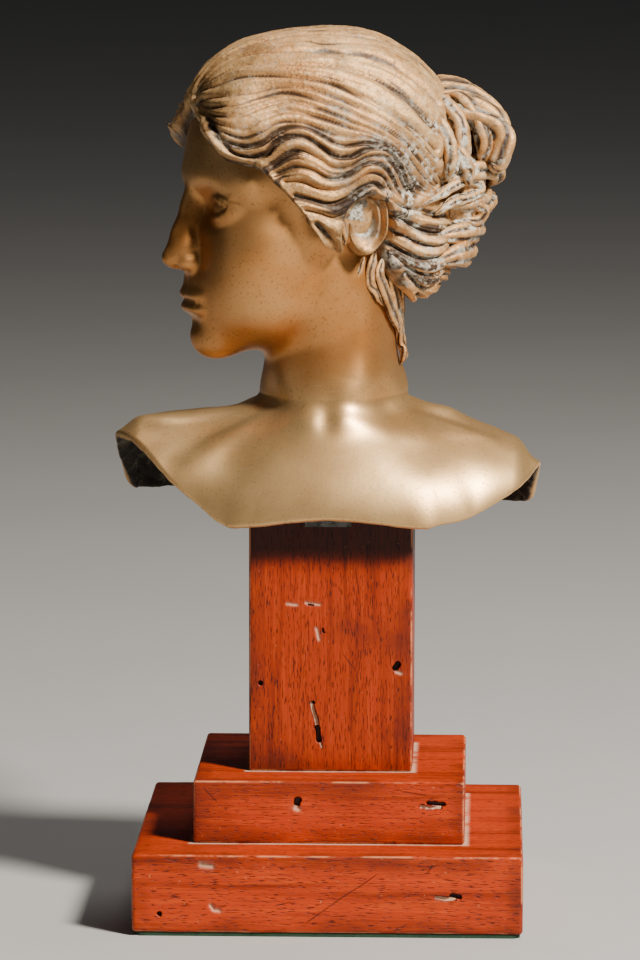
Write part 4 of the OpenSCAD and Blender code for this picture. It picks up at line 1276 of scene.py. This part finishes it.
class Finish:
    """A procedural material for one kind of surface."""

    def __init__(self, name):
        self.material = bpy.data.materials.new(name)
        self.material.use_nodes = True
        self.tree = self.material.node_tree
        self.shader = self.tree.nodes["Principled BSDF"]
        self.place = self.node("ShaderNodeTexCoord", {}, {}, "Object")

    def node(self, kind, settings, values, output=0):
        """A new node: its settings, then the values or wires of its inputs. Gives one output."""
        made = self.tree.nodes.new(kind)
        for key, value in settings.items():
            setattr(made, key, value)
        for key, value in values.items():
            self.plug(made.inputs[key], value)
        return Wire(self, made.outputs[output])

    def plug(self, socket, value):
        """Link a wire to a socket, or set the socket to a value."""
        if isinstance(value, Wire):
            self.tree.links.new(value.socket, socket)
        elif isinstance(value, tuple) and len(value) == 3 and socket.type == "RGBA":
            socket.default_value = value + (1.0,)
        else:
            socket.default_value = value

    def mark(self, name):
        """A per-point number of the piece itself."""
        return self.node("ShaderNodeAttribute", {"attribute_name": name}, {}, "Fac")

    def stretched(self, cells):
        """Object coordinates in cells of so many millimetres, along each axis or along all."""
        x, y, z = cells if isinstance(cells, tuple) else (cells, cells, cells)
        return self.node("ShaderNodeMapping", {}, {"Vector": self.place,
                         "Scale": (1000.0 / x, 1000.0 / y, 1000.0 / z)})

    def noise(self, cells, detail, rough, twist=0.0):
        """Soft noise from 0 to 1 about 0.5, in cells of the given size or at a given place."""
        place = cells if isinstance(cells, Wire) else self.stretched(cells)
        return self.node("ShaderNodeTexNoise", {}, {"Vector": place, "Scale": 1.0,
                         "Detail": detail, "Roughness": rough, "Distortion": twist})

    def mix(self, a, b, share):
        """Colour a with colour b laid over it by the share."""
        kit = self.tree.nodes.new("ShaderNodeMix")
        kit.data_type = "RGBA"
        self.plug(kit.inputs["Factor"], share)
        named = {"A": a, "B": b}
        for socket in kit.inputs:
            if socket.type == "RGBA" and socket.name in named:
                self.plug(socket, named[socket.name])
        return Wire(self, [o for o in kit.outputs if o.type == "RGBA"][0])

    def shade(self, base, share):
        """Colour base times a number: darker below 1."""
        return self.node("ShaderNodeVectorMath", {"operation": "SCALE"},
                         {0: base, "Scale": share})

    def bump(self, height, distance_mm, strength):
        """The normals of fine relief that stands out by the distance."""
        values = {"Height": height, "Distance": distance_mm * MM, "Strength": strength}
        return self.node("ShaderNodeBump", {}, values)

    def set(self, **values):
        """Values or wires for sockets of the shader, named with underscores for spaces."""
        for key, value in values.items():
            self.plug(self.shader.inputs[key.replace("_", " ")], value)
        return self.material


def srgb(r, g, b):
    """A colour from 0 to 255 as it is seen, to the linear values that shaders take."""
    c = np.array([r, g, b]) / 255.0
    lin = np.where(c <= 0.04045, c / 12.92, ((c + 0.055) / 1.055) ** 2.4)
    return tuple(float(v) for v in lin)


# ---- finishes ----

def warm_and_pale(f, sizes, cloud):
    """Skin colour: pale and rubbed on the chest, warmer and browner up the neck and the cheek.

    Returns the colour, and how rubbed each place is."""
    height = f.node("ShaderNodeSeparateXYZ", {}, {"Vector": f.place}, "Z") * 1000.0
    rubbed = 1 - height.ramp(JOIN_Z - 8, JOIN_Z + 22)
    upper = height.ramp(CHIN_Z + 46, CHIN_Z + 96) * 0.5
    share = (cloud - 0.5) * 1.0 + rubbed * 0.72 + upper + 0.18
    return f.mix(tuple(sizes.bronze_warm), tuple(sizes.bronze_pale), share.held()), rubbed


def bronze_skin(sizes, name, inside=None):
    """Old satin bronze: fine brown speckle, faint scratches and casting pits.

    Inside the shoulders it is raw, dark and a little green."""
    f = Finish(name)
    cloud = f.noise((28, 28, 24), 3.0, 0.55)
    patch = f.noise(9, 3.0, 0.6)
    speck = f.noise(1.1, 2.0, 0.6)
    grain = f.noise(0.45, 1.0, 0.5)
    slanted = f.node("ShaderNodeMapping", {}, {"Vector": f.place, "Scale": (60.0, 300.0, 1900.0),
                     "Rotation": (0.0, 0.35, 0.2)})
    scratch = f.noise(slanted, 2.0, 0.6)
    base, rubbed = warm_and_pale(f, sizes, cloud)
    base = f.mix(base, srgb(98, 56, 26), patch.ramp(0.52, 0.80) * 0.12)
    base = f.mix(base, srgb(62, 36, 18), speck.ramp(0.56, 0.72) * 0.36)
    base = f.mix(base, srgb(226, 205, 170), scratch.ramp(0.66, 0.72) * rubbed * 0.30)
    rough = 0.40 + 0.10 * (cloud - 0.5) + 0.10 * speck.ramp(0.55, 0.8)
    metal = 0.84
    relief = speck * 0.4 + grain * 0.3 + patch * 0.4
    if inside:
        raw_share = f.mark(inside)
        raw = f.mix(srgb(34, 27, 18), srgb(92, 88, 66), patch.ramp(0.48, 0.68))
        raw = f.mix(raw, srgb(18, 14, 10), speck.ramp(0.46, 0.62))
        base = f.mix(base, raw, raw_share.ramp(0.35, 0.9))
        rough = rough + raw_share * 0.4
        metal = 0.84 - 0.74 * raw_share
        relief = relief + (speck + patch) * raw_share * 2.5
    return f.set(Base_Color=base, Roughness=rough, Metallic=metal, Normal=f.bump(relief, 0.10, 0.6))


def bronze_hair(sizes, name):
    """Duller bronze of the hair: rubbed ridges, dark brown grooves, pale grey-green dust."""
    f = Finish(name)
    place = f.stretched(1)
    cloud = f.noise(26, 3.0, 0.55)
    patch = f.noise(9, 3.0, 0.6)
    speck = f.noise(1.1, 2.0, 0.6)
    crumbs = f.noise(2.2, 3.0, 0.7)
    furrow = f.mark("furrow")
    base = f.mix(tuple(sizes.bronze_warm), tuple(sizes.bronze_pale),
                 ((cloud - 0.5) * 1.4 + 0.55).held())
    base = f.mix(base, srgb(110, 76, 40), patch.ramp(0.46, 0.70) * 0.55)
    ridge = 1 - furrow.ramp(0.0, 0.16)
    base = f.mix(base, srgb(220, 188, 136), ridge * crumbs.ramp(0.44, 0.62) * 0.40)
    base = f.mix(base, srgb(60, 36, 18), speck.ramp(0.52, 0.68) * 0.55)
    cavity = f.node("ShaderNodeNewGeometry", {}, {}, "Pointiness").ramp(0.505, 0.44)
    deep = (furrow.ramp(0.14, 0.70) * 0.90 + cavity * 0.35).held()
    base = f.mix(base, srgb(42, 24, 12), deep)

    def around(spot, near, far):
        """1 within one distance of a place on the head, falling to 0 at the other."""
        spot = tuple(head_to_world(np.array(spot)))
        distance = f.node("ShaderNodeVectorMath", {"operation": "DISTANCE"},
                          {0: place, 1: spot}, "Value")
        return 1 - distance.ramp(near, far)

    back_hair = around([24.0, 40.0, 64.0], 14.0, 46.0)
    ear = around([35.0, 9.5, 51.0], 4.0, 9.0)
    dust = (f.noise(13, 4.0, 0.65).ramp(0.46, 0.62) * 0.45
            + back_hair * patch.ramp(0.36, 0.56)) * crumbs.ramp(0.42, 0.60)
    in_grooves = dust * 0.8 * (furrow.ramp(0.04, 0.40) * 0.75 + 0.25)
    in_ear = ear * furrow.ramp(0.15, 0.7) * crumbs.ramp(0.30, 0.55) * 0.8
    dust = (in_grooves + in_ear).held()
    base = f.mix(base, srgb(206, 200, 182), dust * 0.88)
    return f.set(Base_Color=base, Roughness=(0.48 + 0.1 * cloud + 0.12 * speck + 0.3 * dust).held(),
                 Metallic=(0.60 - 0.5 * dust - 0.25 * deep).held(),
                 Normal=f.bump(speck * 0.5 + crumbs * 0.7, 0.30, 0.7))


def mahogany(sizes, name, upright, scratches, foot=0.0, top=0.0):
    """Old polished mahogany: ribbons of colour along the grain, short dark pores, paler worn
    edges, dust in the tracks, and a polish that is dulled in patches. Light and shade are painted
    too: a shadow of the bust over the top of the post, and the post darker than the plinths.

    A scratch is a dark line on the front between two points given as across and height. Foot
    is half the width of the block that stands on it at height top: dust lies along it."""
    f = Finish(name)

    def grained(along, across):
        """Cells drawn out along the grain: upwards in the post, from side to side in a plinth."""
        return (across, across, along) if upright else (along, across, across)

    ribbon = f.noise(grained(150, 7), 3.0, 0.55, 0.4)
    fibre = f.noise(grained(26, 0.9), 3.0, 0.6)
    pores = f.noise(grained(3.6, 0.40), 1.0, 0.5)
    cloud = f.noise(32, 3.0, 0.55)
    spots = f.noise(1.6, 2.0, 0.6)
    edge, dust, dark = f.mark("edge_mm"), f.mark("dust"), f.mark("dark")
    across, deep, height = (f.node("ShaderNodeSeparateXYZ", {}, {"Vector": f.place}, axis) * 1000.0
                            for axis in "XYZ")
    base = f.mix(tuple(sizes.wood_dark), tuple(sizes.wood_red), ribbon.ramp(0.22, 0.52))
    base = f.mix(base, srgb(208, 78, 10), fibre.ramp(0.48, 0.76) * 0.45)
    base = f.mix(base, srgb(84, 24, 10), fibre.ramp(0.48, 0.28) * 0.35)
    pore = pores.ramp(0.58, 0.68)
    base = f.mix(base, srgb(40, 13, 7), pore * 0.75)
    base = f.mix(base, srgb(56, 15, 7), cloud.ramp(0.52, 0.74) * (0.5 if upright else 0.28))
    # Painted shadow: the top of the post, under the bust's overhanging chest, is darkened to near
    # black.
    if upright:
        base = f.mix(base, srgb(16, 6, 4), height.ramp(POST_TOP - 31, POST_TOP - 22) * 0.85)
    # Painted light and shade: the same wood is scaled darker on the post and lighter on the plinths,
    # as if lit differently.
    base = f.shade(base, 0.80 if upright else 1.10)
    base = f.mix(base, srgb(214, 140, 92), spots.ramp(0.68, 0.78) * 0.36)
    grime = edge.ramp(9.0, 1.5) * cloud.ramp(0.34, 0.60)
    base = f.mix(base, srgb(52, 18, 10), grime * 0.5)
    rub = f.noise(17, 4.0, 0.65)
    worn = (1 - edge.ramp(0.15, 0.95)) * rub.ramp(0.42, 0.58)
    base = f.mix(base, srgb(222, 142, 96), worn * 0.6)
    for (x0, z0), (x1, z1), half in scratches:
        length = math.hypot(x1 - x0, z1 - z0)
        run, rise = (x1 - x0) / length, (z1 - z0) / length
        along = (across - x0) * run + (height - z0) * rise
        aside = ((across - x0) * rise - (height - z0) * run + (cloud - 0.5) * 3.0).maths("ABSOLUTE")
        ends = along.ramp(0, 2) * (1 - along.ramp(length - 2, length))
        line = (1 - aside.ramp(half * 0.3, half)) * ends
        on_front = 1 - deep.ramp(-30.0, -29.0)
        dark = (dark + line * 0.8 * rub.ramp(0.25, 0.5) * on_front).held()
    base = f.mix(base, srgb(40, 16, 10), dark * 0.9)
    base = f.mix(base, srgb(214, 180, 148), dust * 0.75)
    if foot:
        reach_out = across.maths("ABSOLUTE").maths("MAXIMUM", deep.maths("ABSOLUTE"))
        beside = 1 - (reach_out - foot).ramp(0.4, 2.4)
        lying = beside * height.ramp(top - 0.4, top - 0.1) * rub.ramp(0.30, 0.52)
        dust = (dust + lying * 0.8).held()
        base = f.mix(base, srgb(212, 176, 146), lying * 0.7)
    rough = (0.36 + 0.22 * cloud.ramp(0.40, 0.70) + 0.15 * pore + 0.25 * worn + 0.4 * dust).held()
    relief = fibre * 0.6 - pore * 1.0 + spots * 0.25
    return f.set(Base_Color=base, Roughness=rough, Coat_Weight=0.08 * (1 - worn) * (1 - dust),
                 Coat_Roughness=0.18, Specular_IOR_Level=0.2, Normal=f.bump(relief, 0.12, 0.8))


def plain_wood():
    """Pale turned beech for the dowels."""
    f = Finish("beech_dowel")
    fibre = f.noise((0.8, 0.8, 14), 3.0, 0.6)
    fleck = f.noise((0.4, 0.4, 2.2), 1.0, 0.5)
    base = f.mix(srgb(190, 146, 98), srgb(222, 184, 136), fibre.ramp(0.35, 0.65))
    base = f.mix(base, srgb(140, 96, 58), fleck.ramp(0.62, 0.72) * 0.5)
    return f.set(Base_Color=base, Roughness=0.5 + 0.2 * fibre, Normal=f.bump(fibre, 0.08, 0.5))


def metal_finish(name, pale, dark, rough, rust):
    """Old steel or lead: brushed, blotched, with a share of brown rust or grey bloom."""
    f = Finish(name)
    blotch = f.noise(3.5, 4.0, 0.65)
    brushed = f.noise((0.3, 0.3, 6), 2.0, 0.5)
    spot = f.noise(1.2, 3.0, 0.6)
    base = f.mix(pale, dark, blotch.ramp(0.40, 0.65))
    base = f.mix(base, rust, spot.ramp(0.55, 0.70) * 0.6)
    rough = rough + 0.2 * blotch.ramp(0.4, 0.7) + 0.1 * brushed
    return f.set(Base_Color=base, Roughness=rough, Metallic=0.85 - 0.6 * spot.ramp(0.55, 0.70),
                 Normal=f.bump(brushed * 0.4 + spot, 0.12, 0.6))


def green_felt(sizes):
    """Thin felt: short fibres that lie every way, a darker nap in patches, and a little lint."""
    f = Finish("green_felt")
    fibre = f.noise(0.35, 4.0, 0.7, 1.2)
    nap = f.noise(5, 3.0, 0.6)
    lint = f.noise(0.9, 1.0, 0.5, 2.0)
    felt = tuple(sizes.felt_green)
    base = f.mix(felt, tuple(c * 2.2 for c in felt), fibre.ramp(0.42, 0.70))
    base = f.mix(base, tuple(c * 0.5 for c in felt), nap.ramp(0.50, 0.70) * 0.6)
    base = f.mix(base, srgb(120, 124, 104), lint.ramp(0.70, 0.78) * 0.6)
    return f.set(Base_Color=base, Roughness=0.95, Normal=f.bump(fibre + nap, 0.25, 0.9))


def floor_finish():
    """Plain pale floor with a faint cloud in it."""
    f = Finish("pale_floor")
    cloud = f.noise(240, 2.0, 0.5)
    base = f.mix(srgb(168, 166, 162), srgb(176, 174, 170), cloud)
    return f.set(Base_Color=base, Roughness=0.7)


# ---- sizes and colours a user can change ----

def colour_prop(name, description, default):
    """A colour that a user can pick."""
    return bpy.props.FloatVectorProperty(name=name, description=description, default=default,
                                         size=3, min=0.0, max=1.0, subtype="COLOR")


class BUST_PG_sizes(bpy.types.PropertyGroup):
    """Wear, relief and colours of the bust and its base"""
    worn_edge: bpy.props.FloatProperty(
        name="Worn edge", description="How round the edges of the wooden blocks are worn",
        default=0.0006, min=0.0003, max=0.0012, unit="LENGTH")
    relief: bpy.props.FloatProperty(
        name="Hair relief", description="Depth of locks and strands, as a share of the usual",
        default=1.0, min=0.3, max=1.3, subtype="FACTOR")
    bronze_warm: colour_prop(
        "Warm bronze", "Orange-brown of the cheek and the neck", srgb(178, 114, 54))
    bronze_pale: colour_prop(
        "Pale bronze", "Pale rubbed tan of the chest and the hair", srgb(212, 172, 116))
    wood_red: colour_prop("Red wood", "Lighter ribbons of the mahogany", srgb(168, 50, 9))
    wood_dark: colour_prop("Dark wood", "Darker ribbons of the mahogany", srgb(100, 22, 3))
    felt_green: colour_prop("Felt", "Green of the felt under the foot", srgb(28, 52, 34))


class BUST_PG_stage(bpy.types.PropertyGroup):
    """Strengths of the lights"""
    key: bpy.props.FloatProperty(name="Key light", description="Power of the large soft light",
                                 default=104.0, min=0.0, max=300.0, unit="POWER")
    fill: bpy.props.FloatProperty(name="Fill light", description="Power of the light from the left",
                                  default=0.4, min=0.0, max=100.0, unit="POWER")
    sky: bpy.props.FloatProperty(name="Room light", description="Strength of the room's even light",
                                 default=0.035, min=0.0, max=4.0)


def finish_piece(piece, material, slot_name, *nodes):
    """Give a new piece its finish, its place on the root body and the CAD nodes it stands for."""
    piece.data.materials.clear()
    piece.data.materials.append(material)
    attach(piece, "root")
    if nodes:
        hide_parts(*nodes)
    return piece


def dress_node(name, material):
    """Give a CAD node that stays a finish from this file."""
    for row in bpy.data.objects[name].material_slots:
        row.material = material


class Maker(bpy.types.Operator):
    """Makes one part of the scene"""
    bl_options = {"REGISTER", "UNDO"}


class BUST_OT_wood(Maker):
    """Make the post and the two plinths, with their wear, holes and scratches"""
    bl_idname = "bust.wood"
    bl_label = "Wooden base"

    def execute(self, context):
        sizes = context.scene.bust_sizes
        edge = sizes.worn_edge / MM
        upright = mahogany(sizes, "mahogany_post", True, POST_SCRATCHES)
        middle = mahogany(sizes, "mahogany_upper", False, UPPER_SCRATCHES,
                          POST_HIGH[0], UPPER_HIGH[2])
        lowest = mahogany(sizes, "mahogany_lower", False, LOWER_SCRATCHES,
                          UPPER_HIGH[0], LOWER_HIGH[2])
        finish_piece(make_post(edge), upright, "mahogany", "post")
        finish_piece(make_upper_plinth(edge), middle, "mahogany", "upper_plinth")
        finish_piece(make_lower_plinth(edge), lowest, "mahogany", "lower_plinth")
        return {"FINISHED"}


class BUST_OT_skin(Maker):
    """Make the head with its neck, the ears and the hollow shoulders"""
    bl_idname = "bust.skin"
    bl_label = "Head and shoulders"

    def execute(self, context):
        sizes = context.scene.bust_sizes
        skin = bronze_skin(sizes, "bronze_skin")
        finish_piece(make_head(), skin, "bronze", "head_casting")
        finish_piece(make_ears(), bronze_hair(sizes, "bronze_ears"), "bronze")
        finish_piece(make_shoulders(), bronze_skin(sizes, "bronze_shoulders", "inside"), "bronze",
                     "shoulder_casting")
        return {"FINISHED"}


class BUST_OT_hair(Maker):
    """Make the dressed hair, its loose locks and the chignon"""
    bl_idname = "bust.hair"
    bl_label = "Hair"

    def execute(self, context):
        sizes = context.scene.bust_sizes
        finish = bronze_hair(sizes, "bronze_hair")
        for side in (1, -1):
            finish_piece(make_hair(side, sizes.relief), finish, "bronze_hair")
        finish_piece(make_loose_locks(), finish, "bronze_hair")
        finish_piece(make_chignon(), finish, "bronze_hair", "chignon_casting")
        return {"FINISHED"}


class BUST_OT_fittings(Maker):
    """Give the felt, the rod, the plate, the screws and the dowels their finishes"""
    bl_idname = "bust.fittings"
    bl_label = "Felt and fittings"

    def execute(self, context):
        sizes = context.scene.bust_sizes
        steel = metal_finish("old_steel", srgb(150, 150, 148), srgb(96, 94, 90), 0.32,
                             srgb(104, 62, 38))
        lead = metal_finish("old_lead", srgb(104, 104, 100), srgb(66, 66, 64), 0.5,
                            srgb(140, 138, 130))
        plain = bronze_skin(sizes, "bronze_fittings")
        beech = plain_wood()
        felt = green_felt(sizes)
        for material, names in (
                (steel, ("bridge_bar", "bridge_rivets", "tie_rod", "bust_washer", "bust_nut",
                         "post_screws", "plinth_screws", "base_washer", "base_nut")),
                (lead, ("front_tab",)), (plain, ("neck_sleeve", "bridge_lugs")),
                (beech, ("post_dowels", "plinth_dowels")), (felt, ("felt_pad",))):
            for name in names:
                dress_node(name, material)
        return {"FINISHED"}


STAGE_MIDDLE = (0.0, 0.0, 0.17)
FLOOR_RADIUS_MM, FLOOR_DROP_MM = 12000, 0.05
FLOOR_RINGS, FLOOR_COLS = 23, 96
LENS_MM, SENSOR_MM = 199.65, 36.0
CAMERA_AIM, CAMERA_BACK = (-0.005, 0.0, 0.1591), 1.994
CAMERA_ROUND, CAMERA_UP, CAMERA_ROLL = (math.radians(v) for v in (1.8, 7.5, 0.1))


def area_light(name, place, size, power, colour):
    """A round soft light that looks at the middle of the bust."""
    lamp = bpy.data.lights.new(name, "AREA")
    lamp.shape, lamp.size, lamp.energy, lamp.color = "DISK", size, power, colour
    holder = bpy.data.objects.new(name, lamp)
    holder.location = place
    look = Vector(STAGE_MIDDLE) - Vector(place)
    holder.rotation_euler = look.to_track_quat("-Z", "Y").to_euler()
    bpy.context.scene.collection.objects.link(holder)


def make_floor():
    """A wide disc, a hair under the felt, with its rings closer towards the middle."""
    r = FLOOR_RADIUS_MM * np.linspace(0, 1, FLOOR_RINGS + 1)[1:, None] ** 2
    a = np.arange(FLOOR_COLS) / FLOOR_COLS * 2 * math.pi
    disc = np.stack([r * np.cos(a), r * np.sin(a), 0 * r * a - FLOOR_DROP_MM], -1)
    points = np.concatenate([disc.reshape(-1, 3), [[0, 0, -FLOOR_DROP_MM]]])
    floor = build_mesh("studio_floor", points, grid_quads(FLOOR_RINGS, FLOOR_COLS, flip=True),
                       pole_tris(0, FLOOR_RINGS * FLOOR_COLS, FLOOR_COLS))
    floor.data.materials.append(floor_finish())


def make_camera(scene):
    """A long lens that looks a little down on the bust's front."""
    lens = bpy.data.cameras.new("camera")
    lens.lens, lens.sensor_width = LENS_MM, SENSOR_MM
    lens.clip_start, lens.clip_end = 0.05, 50.0
    camera = bpy.data.objects.new("camera", lens)
    back = Vector((math.sin(CAMERA_ROUND) * math.cos(CAMERA_UP),
                   -math.cos(CAMERA_ROUND) * math.cos(CAMERA_UP), math.sin(CAMERA_UP)))
    camera.location = Vector(CAMERA_AIM) + back * CAMERA_BACK
    turn = (-back).to_track_quat("-Z", "Y").to_matrix() @ Matrix.Rotation(CAMERA_ROLL, 3, "Z")
    camera.rotation_euler = turn.to_euler()
    scene.collection.objects.link(camera)
    scene.camera = camera


class BUST_OT_stage(Maker):
    """Make the pale floor, the soft studio light and the camera"""
    bl_idname = "bust.stage"
    bl_label = "Floor, light and camera"

    def execute(self, context):
        light = context.scene.bust_stage
        make_floor()
        area_light("key_light", (1.05, -0.95, 1.40), 0.34, light.key, (1.0, 0.96, 0.90))
        area_light("fill_light", (-1.3, -0.9, 0.5), 0.9, light.fill, (0.92, 0.95, 1.0))
        area_light("top_light", (0.1, 0.5, 1.4), 0.6, light.key * 0.05, (1.0, 0.98, 0.95))
        world = context.scene.world or bpy.data.worlds.new("room")
        context.scene.world = world
        world.use_nodes = True
        sky = world.node_tree.nodes["Background"]
        sky.inputs["Color"].default_value = (0.86, 0.88, 0.92, 1.0)
        sky.inputs["Strength"].default_value = light.sky
        make_camera(context.scene)
        return {"FINISHED"}


class BUST_PT_panel(bpy.types.Panel):
    """The sizes, the lights, and a button for each part of the scene"""
    bl_label = "Bronze bust"
    bl_idname = "BUST_PT_panel"
    bl_space_type = "VIEW_3D"
    bl_region_type = "UI"
    bl_category = "Bust"

    def draw(self, context):
        for group in (context.scene.bust_sizes, context.scene.bust_stage):
            column = self.layout.column()
            for key in group.__annotations__:
                column.prop(group, key)
        for maker in MAKERS:
            self.layout.operator(maker.bl_idname)


MAKERS = (BUST_OT_wood, BUST_OT_skin, BUST_OT_hair, BUST_OT_fittings, BUST_OT_stage)
CLASSES = (BUST_PG_sizes, BUST_PG_stage) + MAKERS + (BUST_PT_panel,)


def register():
    """Add the classes and the two groups of settings to Blender."""
    for cls in CLASSES:
        bpy.utils.register_class(cls)
    bpy.types.Scene.bust_sizes = bpy.props.PointerProperty(type=BUST_PG_sizes)
    bpy.types.Scene.bust_stage = bpy.props.PointerProperty(type=BUST_PG_stage)


def unregister():
    """Take away what register added."""
    del bpy.types.Scene.bust_stage
    del bpy.types.Scene.bust_sizes
    for cls in reversed(CLASSES):
        bpy.utils.unregister_class(cls)


def main():
    """Build everything."""
    register()
    bpy.ops.bust.wood()
    bpy.ops.bust.skin()
    bpy.ops.bust.hair()
    bpy.ops.bust.fittings()
    bpy.ops.bust.stage()


if __name__ == "__main__":
    main()
